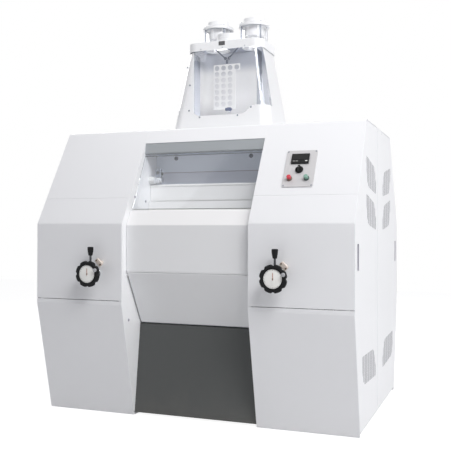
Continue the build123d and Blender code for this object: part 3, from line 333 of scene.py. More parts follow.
# %% The dust group
height_fade, lying_power, patch_scale, patch_detail = -9.0, 6.0, 14.0, 6.0
flour_dust, inlet, outlet = shader_group(
    "flour_dust",
    [("Place", "Vector"), ("Colour", "Color"), ("Dust", "Color"), ("Amount", "Float")],
    [("Colour", "Color")],
)
height = split(flour_dust, inlet.outputs["Place"])["Z"]
low = math_node(flour_dust, "EXPONENT", math_node(flour_dust, "MULTIPLY", height, height_fade))
facing = flour_dust.nodes.new("ShaderNodeNewGeometry")
lying = math_node(flour_dust, "MAXIMUM", split(flour_dust, facing.outputs["Normal"])["Z"], 0.0)
lying = math_node(flour_dust, "POWER", lying, lying_power)
patches = noise_node(flour_dust, inlet.outputs["Place"], patch_scale, patch_detail)
settled = math_node(flour_dust, "MULTIPLY", math_node(flour_dust, "ADD", low, lying), patches)
settled = math_node(flour_dust, "MULTIPLY", settled, inlet.outputs["Amount"])
dusty = blended(flour_dust, settled, inlet.outputs["Colour"], inlet.outputs["Dust"])
flour_dust.links.new(dusty, outlet.inputs["Colour"])
print(flour_dust.name, "with", len(flour_dust.nodes), "nodes")

# %% One function for every opaque finish
dust_colour = linear(216, 208, 192)


def ramp(tree, value, low, high):
    """A smooth rise from 0 to 1 while a value goes from low to high."""
    rise = tree.nodes.new("ShaderNodeMapRange")
    rise.interpolation_type = "SMOOTHSTEP"
    rise.inputs["From Min"].default_value = low
    rise.inputs["From Max"].default_value = high
    tree.links.new(value, rise.inputs["Value"])
    return rise.outputs["Result"]


def group_node(tree, group, place, values):
    """A shared group in a material, with its place linked and its other inputs set by name."""
    node = tree.nodes.new("ShaderNodeGroup")
    node.node_tree = group
    tree.links.new(place, node.inputs["Place"])
    for label, value in values.items():
        node.inputs[label].default_value = value
    return node


def coat(tree, shader, colour, life, depth):
    """Lay a colour on a Principled shader, with the roughness and the grain of the shared group."""
    bump = tree.nodes.new("ShaderNodeBump")
    bump.inputs["Distance"].default_value = depth
    tree.links.new(colour, shader.inputs["Base Color"])
    tree.links.new(life.outputs["Roughness"], shader.inputs["Roughness"])
    tree.links.new(life.outputs["Grain"], bump.inputs["Height"])
    tree.links.new(bump.outputs[0], shader.inputs["Normal"])


def finish(name, paint, roughness, cloud=(2.0, 0.03), grain=(400.0, 0.00002), stretch=(1.0, 1.0, 1.0),
           metallic=0.0, spread=0.1, dust=0.0, painted_shade_bands=(), sockets=()):
    """A Principled material over the shared groups. Cloud is (scale, amount), grain (scale, depth), and the height
    bands are a list of (colour, start, end): painted shade, darker colours that take over from one height to
    another."""
    material, tree = empty_material(name)
    shader = tree.nodes.new("ShaderNodeBsdfPrincipled")
    place = tree.nodes.new("ShaderNodeTexCoord").outputs["Object"]
    mapping = tree.nodes.new("ShaderNodeMapping")
    mapping.inputs["Scale"].default_value = stretch
    tree.links.new(place, mapping.inputs["Vector"])
    life = group_node(tree, surface_life, mapping.outputs[0], {
        "Paint": paint,
        "Cloud Scale": cloud[0],
        "Cloud Amount": cloud[1],
        "Grain Scale": grain[0],
        "Roughness": roughness,
        "Roughness Spread": spread,
    })
    colour = life.outputs["Colour"]
    # Painted shade: each height band darkens the colour from its start height to its end height
    if painted_shade_bands:
        height = split(tree, place)["Z"]
        for tone, start, end in painted_shade_bands:
            colour = blended(tree, ramp(tree, height, start, end), colour, tone)
    if dust:
        veil = group_node(tree, flour_dust, place, {"Dust": dust_colour, "Amount": dust})
        tree.links.new(colour, veil.inputs["Colour"])
        colour = veil.outputs["Colour"]
    coat(tree, shader, colour, life, grain[1])
    shader.inputs["Metallic"].default_value = metallic
    for label, value in sockets:
        shader.inputs[label].default_value = value
    show(tree, shader.outputs[0])
    return material


print("every opaque finish shares", surface_life.name)

# %% Coats of the casing, the hood and the castings
white_coat = finish("white_powder_coat", linear(238, 239, 242), 0.38, dust=0.10)
door_coat = finish("door_powder_coat", linear(234, 235, 237), 0.38, dust=0.10)
hood_coat = finish("hood_white", linear(245, 246, 248), 0.36, dust=0.06)
# Painted light: the bay's cheeks take a whiter copy of the white coat
cheek_painted_light = finish("cheek_white", linear(248, 249, 251), 0.38, dust=0.06)
# Painted light: the door's upward-leaning lip is a lighter copy of the door's coat
lip_painted_light = finish("door_lip", linear(246, 246, 247), 0.34)
header_coat = finish("header_grey", linear(168, 173, 177), 0.34)
kick_coat = finish("kick_dark", linear(82, 84, 84), 0.46, cloud=(1.6, 0.10), dust=0.08,
                   sockets=[("Specular IOR Level", 0.3)])
plate_coat = finish("control_plate_grey", linear(204, 203, 205), 0.34, cloud=(9.0, 0.03))
casting = finish("casting_paint", linear(126, 136, 140), 0.45, cloud=(6.0, 0.10), grain=(160.0, 0.0002))
# Painted shade: the dark blue-grey of the hood cap's underside
cap_painted_shade = finish("cap_painted_shade", linear(138, 144, 158), 0.45, cloud=(9.0, 0.06))
# The hood's inside: painted shade darkens it below the cap's rim at the top and towards its foot
hood_lining = finish("hood_lining", linear(242, 242, 242), 0.40, cloud=(4.0, 0.05),
                     painted_shade_bands=[(linear(176, 180, 190), 2.135, 2.215), (linear(190, 190, 193), 2.00, 1.82)])
# Painted shade on the walls of the vent slots, and a lighter painted highlight on every third slot's walls
vent_painted_shade = finish("vent_painted_shade", linear(130, 130, 140), 0.6, cloud=(20.0, 0.06))
vent_painted_glint = finish("vent_painted_glint", linear(186, 186, 194), 0.5, cloud=(20.0, 0.06))
pull_grey = finish("pull_grey", linear(176, 174, 184), 0.5, cloud=(20.0, 0.05))
print(len(bpy.data.materials), "materials so far")

# %% Steel and iron


def sheet_steel(name, paint):
    """Thin sheet with the fine marks of its rolling along X."""
    return finish(name, paint, 0.42, cloud=(5.0, 0.05), grain=(500.0, 0.00002), stretch=(0.1, 1.0, 1.0))


lining_steel = sheet_steel("lining_steel", linear(214, 219, 232))
chute_steel = sheet_steel("chute_steel", linear(222, 226, 238))
bay_lining = sheet_steel("bay_lining", linear(224, 231, 243))
gate_steel = finish("gate_plate", linear(251, 251, 250), 0.40, cloud=(8.0, 0.04),
                    grain=(500.0, 0.00002), stretch=(0.08, 1.0, 1.0))
# Guide plates: their blue-grey is painted shade for the hood's inner sides, with a darker painted shade band at
# the top
guide_shade_steel = finish("guide_shade_steel", linear(178, 182, 192), 0.40, cloud=(6.0, 0.05),
                     painted_shade_bands=[(linear(116, 124, 140), 2.08, 2.20)])
chilled_iron = finish("chilled_iron", linear(150, 152, 154), 0.34, metallic=1.0, cloud=(5.0, 0.14),
                      grain=(420.0, 0.00006), stretch=(0.05, 1.0, 1.0))
brushed_steel = finish("brushed_steel", linear(196, 198, 201), 0.30, metallic=1.0, cloud=(30.0, 0.10),
                       grain=(700.0, 0.00003), stretch=(0.06, 1.0, 1.0), spread=0.2)
bright_steel = finish("bright_steel", linear(214, 216, 219), 0.24, metallic=1.0, cloud=(60.0, 0.06))
knob_steel = finish("knob_steel", linear(160, 161, 165), 0.56, metallic=0.6, cloud=(40.0, 0.06),
                    spread=0.08)
hanger_grey = finish("hanger_grey", linear(98, 105, 121), 0.40, metallic=0.3, cloud=(40.0, 0.06))
rod_grey = finish("rod_grey", linear(138, 144, 156), 0.36, metallic=0.6, cloud=(50.0, 0.08))
dark_steel = finish("dark_steel", linear(74, 76, 80), 0.36, metallic=0.8, cloud=(50.0, 0.10))
bronze = finish("button_ring", linear(128, 114, 102), 0.28, metallic=0.9, cloud=(90.0, 0.08))
valve_blue = finish("valve_blue", linear(66, 78, 112), 0.34, cloud=(60.0, 0.08))
print(len(bpy.data.materials), "materials so far")

# %% Plastics and print


def button_plastic(name, paint, roughness, amount):
    """Glossy button plastic under a clear coat."""
    return finish(name, paint, roughness, cloud=(90.0, amount), spread=0.05, sockets=[("Coat Weight", 0.5)])


black_moulding = finish("black_moulding", linear(22, 23, 25), 0.42, cloud=(40.0, 0.2),
                        grain=(900.0, 0.00005), sockets=[("Specular IOR Level", 0.16)])
black_gloss = finish("black_gloss", linear(16, 17, 19), 0.16, cloud=(30.0, 0.15), spread=0.06,
                     sockets=[("Specular IOR Level", 0.22)])
stop_red = button_plastic("stop_red", linear(205, 34, 58), 0.22, 0.08)
start_green = button_plastic("start_green", linear(126, 168, 152), 0.20, 0.10)
start_base = finish("start_base", linear(62, 84, 80), 0.30, cloud=(90.0, 0.08))
key_white = finish("key_white", linear(226, 227, 226), 0.45, cloud=(90.0, 0.03))
key_grey = finish("key_grey", linear(112, 114, 117), 0.5, cloud=(90.0, 0.06))
strip_grey = finish("strip_grey", linear(140, 140, 138), 0.5, cloud=(90.0, 0.06))
bare_plate = finish("bare_plate", linear(84, 84, 87), 0.5, cloud=(90.0, 0.06))
seal_grey = finish("seal_grey", linear(206, 209, 214), 0.6, cloud=(40.0, 0.04))
ivory = finish("ivory_moulding", linear(226, 214, 204), 0.46, cloud=(30.0, 0.05))
milky_plastic = finish("milky_plastic", linear(241, 242, 243), 0.35, cloud=(20.0, 0.03))
# Painted shadow: the grey film behind the feeler's holes stands in for the plate's shadow on the wall beyond,
# darker towards the top
shadow_film_grey = finish("shadow_film_grey", linear(227, 228, 231), 0.45, cloud=(30.0, 0.05),
                   painted_shade_bands=[(linear(188, 191, 199), 2.06, 2.13)])
dial_card = finish("dial_card", linear(246, 246, 243), 0.5, cloud=(25.0, 0.03))
ink = finish("dial_ink", linear(58, 60, 62), 0.6, cloud=(200.0, 0.2))
needle_red = finish("needle_red", linear(170, 104, 84), 0.45, cloud=(80.0, 0.06))
print(len(bpy.data.materials), "materials so far")

# %% [markdown]
# ## Clear sheets
# The windows are polished acrylic. A glass shader bends what lies behind it, and its own reflections
# stay bright, but it would stop the lamp's light from reaching the inside. So shadow rays and the
# rays of indirect light go straight through, which Light Path again tells apart.

# %% The clear finishes
acrylic_ior = 1.49
bend_start, bend_end = 0.2, 0.6
rim_start, rim_end, rim_blend = 0.35, 0.9, 0.3


def clear_finish(name, tint, ripple, bend=None, rim=None):
    """Clear plastic: glass for the eye, open for light and shadow. Its bend on the right side takes a blue-grey
    painted shade, and where it is seen along its wall it is tinted."""
    material, tree = empty_material(name)
    shader = tree.nodes.new("ShaderNodeBsdfPrincipled")
    shader.inputs["Transmission Weight"].default_value = 1.0
    shader.inputs["IOR"].default_value = acrylic_ior
    place = tree.nodes.new("ShaderNodeTexCoord")
    life = group_node(tree, surface_life, place.outputs["Object"], {
        "Paint": tint,
        "Cloud Scale": 6.0,
        "Cloud Amount": 0.02,
        "Grain Scale": 8.0,
        "Roughness": 0.02,
        "Roughness Spread": 0.02,
    })
    colour = life.outputs["Colour"]
    # Painted shade: only the bend on the right side is tinted blue-grey
    if bend:
        sideways = math_node(tree, "ABSOLUTE", split(tree, place.outputs["Normal"])["X"])
        right = math_node(tree, "GREATER_THAN", split(tree, place.outputs["Object"])["X"], 0.0)
        bent = math_node(tree, "MULTIPLY", ramp(tree, sideways, bend_start, bend_end), right)
        colour = blended(tree, bent, colour, bend)
    if rim:
        edge = tree.nodes.new("ShaderNodeLayerWeight")
        edge.inputs["Blend"].default_value = rim_blend
        colour = blended(tree, ramp(tree, edge.outputs["Facing"], rim_start, rim_end), colour, rim)
    coat(tree, shader, colour, life, ripple)
    path = tree.nodes.new("ShaderNodeLightPath")
    through = math_node(tree, "MAXIMUM", path.outputs["Is Shadow Ray"], path.outputs["Is Diffuse Ray"])
    open_way = tree.nodes.new("ShaderNodeBsdfTransparent")
    show(tree, mixed(tree, through, shader.outputs[0], open_way.outputs[0]))
    return material


clear_sheet = clear_finish("clear_sheet", linear(248, 250, 253), 0.0001)
# The window's right bend gets a blue-grey painted shade
bent_sheet = clear_finish("bent_clear_sheet", linear(250, 250, 251), 0.0001, bend=linear(214, 217, 225))
clear_tube = clear_finish("clear_tube", linear(250, 250, 251), 0.00005, rim=linear(150, 160, 188))
print("clear:", clear_sheet.name, bent_sheet.name, clear_tube.name)

# %% [markdown]
# ## Folded sheet and machined edges
# Solids have knife edges, and a knife edge never catches light. Each node that only needs a finish
# is copied, its triangles are joined again into the flat faces that they came from, and a narrow
# bevel rounds its edges the way a brake press or a file does.

# %% Dress a node


def own_mesh(name, shape, finishes, smooth):
    """Turn a bmesh into a mesh with its materials, smooth up to an angle in degrees."""
    mesh = bpy.data.meshes.new(name)
    shape.to_mesh(mesh)
    shape.free()
    for material in finishes:
        mesh.materials.append(material)
    mesh.polygons.foreach_set("use_smooth", [True] * len(mesh.polygons))
    mesh.set_sharp_from_angle(angle=math.radians(smooth))
    return mesh


def add_piece(name, mesh, body, stands_for=(), edge=0.0, flat=False):
    """Put a mesh in the scene as a piece on a body, with soft edges and flat large faces if asked."""
    piece = bpy.data.objects.new(name, mesh)
    scene.collection.objects.link(piece)
    if edge:
        bevel = piece.modifiers.new("soft_edges", "BEVEL")
        bevel.width = edge
        bevel.segments = 2
        bevel.limit_method = "ANGLE"
        bevel.angle_limit = math.radians(40)
        bevel.harden_normals = True
    if flat:
        weighted = piece.modifiers.new("flat_faces", "WEIGHTED_NORMAL")
        weighted.keep_sharp = True
    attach(piece, body)
    if stands_for:
        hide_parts(*stands_for)
    return piece


def node_shape(node):
    """A node's own triangles as one joined bmesh with its flat faces whole again."""
    shape = bmesh.new()
    shape.from_mesh(frame["nodes"][node].data)
    bmesh.ops.remove_doubles(shape, verts=shape.verts, dist=0.00002)
    bmesh.ops.dissolve_limit(shape, angle_limit=math.radians(0.6), verts=shape.verts, edges=shape.edges)
    return shape


def dress(node, *finishes, pick=None, edge=0.0012, smooth=32.0):
    """Stand in for a node with its own shape, finished. Pick gives a face's finish from its middle
    and the way that it faces."""
    shape = node_shape(node)
    if pick:
        for face in shape.faces:
            face.material_index = pick(face.calc_center_median(), face.normal)
    mesh = own_mesh(f"{node}_finished", shape, finishes, smooth)
    return add_piece(f"{node}_finished", mesh, body_of[node], (node,), edge, flat=True)


print(len(frame["nodes"]), "nodes to dress")

# %% Dress the casing
sides = {"left": -1, "right": 1}
faces = {"front": -1, "rear": 1}
half_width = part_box("end_frames")[1].x
pull_near, pull_low, pull_high, pull_rim = 0.655, 0.872, 1.020, 0.0005
slot_near, slot_far, slot_pitch = 0.09, 0.62, 0.027
slot_rim, slot_depth = 0.0002, 0.0028
door_lip = 1.112
inward, side_sheet = -0.02, 0.975


def door_face(spot, way):
    """0 for a side door's sheet, 1 for the walls of its vent slots in painted shade, 3 for every third slot's
    walls in a lighter painted highlight, 2 for its pull.
    """
    depth = half_width - abs(spot.x)
    if abs(spot.y) > pull_near and pull_low < spot.z < pull_high and depth > pull_rim:
        return 2
    if not (slot_rim < depth < slot_depth and slot_near < abs(spot.y) < slot_far):
        return 0
    return 3 if int(abs(spot.y) / slot_pitch) % 3 == 0 else 1


def hood_face(spot, way):
    """0 for the hood's coat, 1 for its inside, 2 for the flat sheets at its sides, which take the greyer door coat
    as painted shade.
    """
    if way.x * spot.x + way.y * spot.y < inward:
        return 1
    return 2 if abs(way.x) > side_sheet else 0


for node in ("roof_covers", "middle_covers", "skirts", "end_frames", "centre_roof"):
    dress(node, white_coat)
for face in faces:
    for side in sides:
        dress(f"{face}_{side}_side_door", white_coat, vent_painted_shade, pull_grey, vent_painted_glint, pick=door_face,
              edge=0.0005)
    # Above the lip's height the door takes the lighter painted light
    dress(f"{face}_roll_door", door_coat, lip_painted_light, pick=lambda spot, way: int(spot.z > door_lip))
    dress(f"{face}_lower_flap", door_coat)
# The hood's flat sides take the greyer door coat as painted shade
dress("hood_shell", hood_coat, hood_lining, door_coat, pick=hood_face, edge=0.0010)
dress("window_headers", header_coat)
dress("kick_panels", kick_coat)
dress("base_frame", white_coat, edge=0.0)

# %% Dress the works inside
wall_face, cheek_facing = 0.4005, -0.1


def wall_finish(spot, way):
    """0 for a frame wall's cheek in the bay, in a whiter painted light, 1 for its other faces, 2 for the pivots on
    it.
    """
    if abs(spot.x) > wall_face:
        return 2
    return int(way.x * spot.x > cheek_facing)


dress("frame_walls", cheek_painted_light, white_coat, bright_steel, pick=wall_finish)
dress("tie_bars", brushed_steel)
dress("feed_box", chute_steel)
dress("discharge_hoppers", lining_steel)
dress("roll_bearings", casting)
for face in faces:
    dress(f"{face}_feed_gate", gate_steel)
    dress(f"{face}_feed_roll", brushed_steel)
    dress(f"{face}_fast_roll", chilled_iron)
    dress(f"{face}_slow_roll", chilled_iron)
    dress(f"{face}_roll_arms", casting, edge=0.003)
    dress(f"{face}_fast_gear", bright_steel, edge=0.0006)
    dress(f"{face}_slow_gear", bright_steel, edge=0.0006)
    dress(f"{face}_belt_pulley", casting)

# %% Dress the hood's top
glass_low, glass_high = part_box("sight_glasses")
cap_top = glass_low.z
glass_radius = (glass_high.y - glass_low.y) / 2
spout_x = (glass_high.x - glass_low.x) / 2 - glass_radius
spout_y = (glass_high.y + glass_low.y) / 2
rod_gap, flange_gap = 0.003, 0.001
ceiling_level, facing_down = 2.235, -0.5
facing_square = 0.995


def is_tie_rod(spot, way):
    """1 for the faces of the rods beside a sight glass, below the flange."""
    away = math.hypot(abs(spot.x) - spout_x, spot.y - spout_y)
    return int(away > glass_radius + rod_gap and spot.z < glass_high.z - flange_gap)


def is_ceiling(spot, way):
    """1 for the underside of the hood's cap, which takes a dark painted shade."""
    return int(way.z < facing_down and spot.z > ceiling_level)


def is_hole_wall(spot, way):
    """1 for the walls of the feeler's round holes, painted dark grey as their shade, 0 for its flat faces."""
    return int(max(abs(way.x), abs(way.y), abs(way.z)) < facing_square)


dress("hood_cap", hood_coat, cap_painted_shade, pick=is_ceiling, edge=0.0008)
dress("inlet_spouts", hood_coat, rod_grey, pick=is_tie_rod, edge=0.0008)
dress("hood_window", bent_sheet, edge=0.0)
dress("sight_glasses", clear_tube, edge=0.0)
dress("feeler_hanger", hanger_grey, edge=0.0005)
# The hole walls take dark grey as painted shade
dress("feeler_plate", milky_plastic, hanger_grey, pick=is_hole_wall, edge=0.0)
for face in faces:
    dress(f"{face}_feed_window", clear_sheet, edge=0.0)
print("inlets at x", round(spout_x, 3), "y", round(spout_y, 3))

# %% [markdown]
# ## Screws
# Screws repeat all over the machine. A geometry tree builds one head, with its washer and a small boss
# on top, and sets it on every point of a small mesh whose points carry the way that they face. The
# instances are realized at the end, because a mesh that leaves Blender can't keep them.

# %% Helpers for geometry trees


def geometry_tree(name, inputs):
    """An empty geometry tree with a geometry socket and named inputs, given as (name, kind) pairs."""
    tree = bpy.data.node_groups.new(name, "GeometryNodeTree")
    tree.interface.new_socket("Geometry", in_out="INPUT", socket_type="NodeSocketGeometry")
    for label, kind in inputs:
        tree.interface.new_socket(label, in_out="INPUT", socket_type=f"NodeSocket{kind}")
    tree.interface.new_socket("Geometry", in_out="OUTPUT", socket_type="NodeSocketGeometry")
    return tree, tree.nodes.new("NodeGroupInput"), tree.nodes.new("NodeGroupOutput")


def join(tree, source, node, socket, target):
    """Link a node's output to an input of another node, both by name."""
    tree.links.new(source.outputs[socket], node.inputs[target])


def finish_tree(tree, geometry, material, outlet):
    """End a tree with Realize Instances and Set Material."""
    real = tree.nodes.new("GeometryNodeRealizeInstances")
    paint = tree.nodes.new("GeometryNodeSetMaterial")
    tree.links.new(geometry, real.inputs[0])
    tree.links.new(real.outputs[0], paint.inputs["Geometry"])
    tree.links.new(material, paint.inputs["Material"])
    tree.links.new(paint.outputs[0], outlet.inputs[0])


def grow(tree, values, source=None):
    """Run a tree with values by input name, on a mesh or on nothing, and keep a plain mesh."""
    if source is None:
        source = bpy.data.meshes.new("nothing")
    carrier = bpy.data.objects.new("carrier", source)
    scene.collection.objects.link(carrier)
    modifier = carrier.modifiers.new("grow", "NODES")
    modifier.node_group = tree
    for item in tree.interface.items_tree:
        if item.item_type == "SOCKET" and item.in_out == "INPUT" and item.name in values:
            modifier[item.identifier] = values[item.name]
    graph = bpy.context.evaluated_depsgraph_get()
    mesh = bpy.data.meshes.new_from_object(carrier.evaluated_get(graph))
    bpy.data.objects.remove(carrier)
    return mesh


print("helpers for trees ready")

# %% The screw tree
screw_tree, inlet, outlet = geometry_tree(
    "screw_heads",
    [("Head Radius", "Float"), ("Head Height", "Float"), ("Sides", "Int"), ("Finish", "Material")],
)
head_radius, head_height = inlet.outputs["Head Radius"], inlet.outputs["Head Height"]
washer_corners, washer_reach, washer_share = 20, 1.35, 0.28
boss_corners, boss_reach, boss_share, boss_lift = 6, 0.52, 0.2, 1.08


def part_of(size, share):
    """A share of one of the screw's sizes."""
    return math_node(screw_tree, "MULTIPLY", size, share)


def drum(corners, radius, depth, lift):
    """A drum of the screw tree, with its middle lifted above its point."""
    node = screw_tree.nodes.new("GeometryNodeMeshCylinder")
    for socket, value in (("Vertices", corners), ("Radius", radius), ("Depth", depth)):
        feed(screw_tree, node.inputs[socket], value)
    rise = screw_tree.nodes.new("ShaderNodeCombineXYZ")
    screw_tree.links.new(lift, rise.inputs["Z"])
    move = screw_tree.nodes.new("GeometryNodeTransform")
    join(screw_tree, node, move, "Mesh", "Geometry")
    join(screw_tree, rise, move, "Vector", "Translation")
    return move.outputs[0]


washer_depth = part_of(head_height, washer_share)
washer = drum(washer_corners, part_of(head_radius, washer_reach), washer_depth, part_of(washer_depth, 0.5))
head = drum(inlet.outputs["Sides"], head_radius, head_height, part_of(head_height, 0.5 + washer_share))
boss = drum(
    boss_corners,
    part_of(head_radius, boss_reach),
    part_of(head_height, boss_share),
    part_of(head_height, boss_lift + washer_share),
)
print(len(screw_tree.nodes), "nodes for washer, head and boss")

# %% Set heads on points
screw = screw_tree.nodes.new("GeometryNodeJoinGeometry")
for shape in (boss, head, washer):
    screw_tree.links.new(shape, screw.inputs[0])
facing = screw_tree.nodes.new("GeometryNodeInputNamedAttribute")
facing.data_type = "FLOAT_VECTOR"
facing.inputs["Name"].default_value = "facing"
turn = screw_tree.nodes.new("FunctionNodeAlignRotationToVector")
turn.axis = "Z"
screw_tree.links.new(facing.outputs["Attribute"], turn.inputs["Vector"])
spread = screw_tree.nodes.new("GeometryNodeInstanceOnPoints")
join(screw_tree, inlet, spread, "Geometry", "Points")
join(screw_tree, screw, spread, "Geometry", "Instance")
join(screw_tree, turn, spread, "Rotation", "Rotation")
finish_tree(screw_tree, spread.outputs[0], inlet.outputs["Finish"], outlet)


def screws(name, spots, radius, height, material, body="machine", sides_of_head=6):
    """Set screw heads on spots, given as (place, way that it faces)."""
    points = bpy.data.meshes.new(f"{name}_points")
    points.from_pydata([place for place, way in spots], [], [])
    ways = points.attributes.new("facing", "FLOAT_VECTOR", "POINT")
    ways.data.foreach_set("vector", [part for place, way in spots for part in way])
    values = {"Head Radius": radius, "Head Height": height, "Sides": sides_of_head, "Finish": material}
    mesh = grow(screw_tree, values, points)
    return add_piece(name, mesh, body)


print("screw tree with", len(screw_tree.nodes), "nodes")

# %% [markdown]
# ## Handwheels and levers
# Each corner has a lobed black wheel with a dial set in its face, a bright finger knob and, behind
# it, the lever that brings the rolls together. The wheel's outline follows a rule, so a tree sweeps
# a rounded section round a circle and pulls the outer side in at each notch. Turned things, such as
# the knob, come from a profile spun round an axis.

# %% The lobed rim as a tree
rim_tree, inlet, outlet = geometry_tree(
    "lobed_rim",
    [
        ("Radius", "Float"),
        ("Inner Radius", "Float"),
        ("Thickness", "Float"),
        ("Lobes", "Int"),
        ("Notch Depth", "Float"),
        ("Finish", "Material"),
    ],
)
rim_steps, corner_steps, corner_share, notch_start = 192, 5, 0.28, 0.35
rim_middle = math_node(rim_tree, "ADD", inlet.outputs["Radius"], inlet.outputs["Inner Radius"])
rim_middle = math_node(rim_tree, "MULTIPLY", rim_middle, 0.5)
rim_width = math_node(rim_tree, "SUBTRACT", inlet.outputs["Radius"], inlet.outputs["Inner Radius"])
path = rim_tree.nodes.new("GeometryNodeCurvePrimitiveCircle")
path.inputs["Resolution"].default_value = rim_steps
rim_tree.links.new(rim_middle, path.inputs["Radius"])
section = rim_tree.nodes.new("GeometryNodeCurvePrimitiveQuadrilateral")
rim_tree.links.new(rim_width, section.inputs["Width"])
join(rim_tree, inlet, section, "Thickness", "Height")
soft = rim_tree.nodes.new("GeometryNodeFilletCurve")
soft.mode = "POLY"
soft.inputs["Count"].default_value = corner_steps
join(rim_tree, section, soft, "Curve", "Curve")
rim_tree.links.new(math_node(rim_tree, "MULTIPLY", rim_width, corner_share), soft.inputs["Radius"])
sweep = rim_tree.nodes.new("GeometryNodeCurveToMesh")
join(rim_tree, path, sweep, "Curve", "Curve")
join(rim_tree, soft, sweep, "Curve", "Profile Curve")
print("a round of", rim_steps, "sections")

# %% Pull the notches in
spot = split(rim_tree, rim_tree.nodes.new("GeometryNodeInputPosition").outputs[0])
angle = math_node(rim_tree, "ARCTAN2", spot["Y"], spot["X"])
wave = math_node(rim_tree, "COSINE", math_node(rim_tree, "MULTIPLY", angle, inlet.outputs["Lobes"]))
notch = math_node(rim_tree, "MAXIMUM", math_node(rim_tree, "SUBTRACT", wave, notch_start), 0.0)
notch = math_node(rim_tree, "MULTIPLY", notch, 1 / (1 - notch_start))
flat = rim_tree.nodes.new("ShaderNodeCombineXYZ")
rim_tree.links.new(spot["X"], flat.inputs["X"])
rim_tree.links.new(spot["Y"], flat.inputs["Y"])
away = rim_tree.nodes.new("ShaderNodeVectorMath")
away.operation = "LENGTH"
rim_tree.links.new(flat.outputs[0], away.inputs[0])
outward = math_node(rim_tree, "SUBTRACT", away.outputs["Value"], inlet.outputs["Inner Radius"])
outward = math_node(rim_tree, "DIVIDE", outward, rim_width)
pull = math_node(rim_tree, "MULTIPLY", notch, outward)
pull = math_node(rim_tree, "MULTIPLY", pull, inlet.outputs["Notch Depth"])
pull = math_node(rim_tree, "DIVIDE", pull, away.outputs["Value"])
pull = math_node(rim_tree, "MULTIPLY", pull, -1.0)
shift = rim_tree.nodes.new("ShaderNodeVectorMath")
shift.operation = "SCALE"
rim_tree.links.new(flat.outputs[0], shift.inputs[0])
rim_tree.links.new(pull, shift.inputs["Scale"])
lobed = rim_tree.nodes.new("GeometryNodeSetPosition")
join(rim_tree, sweep, lobed, "Mesh", "Geometry")
rim_tree.links.new(shift.outputs[0], lobed.inputs["Offset"])
smooth_rim = rim_tree.nodes.new("GeometryNodeSetShadeSmooth")
rim_tree.links.new(lobed.outputs[0], smooth_rim.inputs["Geometry"])
finish_tree(rim_tree, smooth_rim.outputs[0], inlet.outputs["Finish"], outlet)
print("rim tree with", len(rim_tree.nodes), "nodes")

# %% The dial's marks as a tree
mark_thickness = 0.0004
marks_tree, inlet, outlet = geometry_tree(
    "dial_marks",
    [("Count", "Int"), ("Radius", "Float"), ("Length", "Float"), ("Width", "Float"), ("Finish", "Material")],
)
ring = marks_tree.nodes.new("GeometryNodeMeshCircle")
join(marks_tree, inlet, ring, "Count", "Vertices")
join(marks_tree, inlet, ring, "Radius", "Radius")
mark_size = marks_tree.nodes.new("ShaderNodeCombineXYZ")
join(marks_tree, inlet, mark_size, "Length", "X")
join(marks_tree, inlet, mark_size, "Width", "Y")
mark_size.inputs["Z"].default_value = mark_thickness
mark = marks_tree.nodes.new("GeometryNodeMeshCube")
marks_tree.links.new(mark_size.outputs[0], mark.inputs["Size"])
outwards = marks_tree.nodes.new("GeometryNodeInputPosition")
mark_turn = marks_tree.nodes.new("FunctionNodeAlignRotationToVector")
mark_turn.axis = "X"
mark_turn.pivot_axis = "Z"
marks_tree.links.new(outwards.outputs[0], mark_turn.inputs["Vector"])
lay = marks_tree.nodes.new("GeometryNodeInstanceOnPoints")
join(marks_tree, ring, lay, "Mesh", "Points")
join(marks_tree, mark, lay, "Mesh", "Instance")
join(marks_tree, mark_turn, lay, "Rotation", "Rotation")
finish_tree(marks_tree, lay.outputs[0], inlet.outputs["Finish"], outlet)
print("marks tree with", len(marks_tree.nodes), "nodes")

# %% Turned and flat shapes


def lathe(profile, steps=64):
    """A shape turned about Z from (radius, height) points, listed from its foot to its top."""
    shape = bmesh.new()
    rings = []
    for radius, height in profile:
        count = steps if radius > 0 else 1
        turns = [2 * math.pi * index / steps for index in range(count)]
        rings.append([shape.verts.new((radius * math.cos(t), radius * math.sin(t), height)) for t in turns])
    for lower, upper in zip(rings, rings[1:]):
        for index in range(steps):
            after = (index + 1) % steps
            corners = [
                lower[index % len(lower)],
                lower[after % len(lower)],
                upper[after % len(upper)],
                upper[index % len(upper)],
            ]
            corners = list(dict.fromkeys(corners))
            if len(corners) > 2:
                shape.faces.new(corners)
    return shape


def ring_profile(inner, outer, foot, top, edge):
    """Profile of a closed ring with chamfered outer edges."""
    return [
        (inner, foot),
        (outer - edge, foot),
        (outer, foot + edge),
        (outer, top - edge),
        (outer - edge, top),
        (inner, top),
        (inner, foot),
    ]


def turned_piece(name, profile, material, body, matrix, stands_for=(), smooth=35.0, steps=64):
    """A turned piece in place."""
    shape = lathe(profile, steps)
    bmesh.ops.remove_doubles(shape, verts=shape.verts, dist=0.000001)
    mesh = own_mesh(name, shape, [material], smooth)
    mesh.transform(matrix)
    return add_piece(name, mesh, body, stands_for)


def prism(outline, low, high):
    """A shape with a flat outline, listed anticlockwise, between two levels."""
    shape = bmesh.new()
    foot = [shape.verts.new((x, y, low)) for x, y in outline]
    top = [shape.verts.new((x, y, high)) for x, y in outline]
    shape.faces.new(list(reversed(foot)))
    shape.faces.new(top)
    for index in range(len(outline)):
        after = (index + 1) % len(outline)
        shape.faces.new([foot[index], foot[after], top[after], top[index]])
    return shape


print("shapes from profiles and outlines ready")

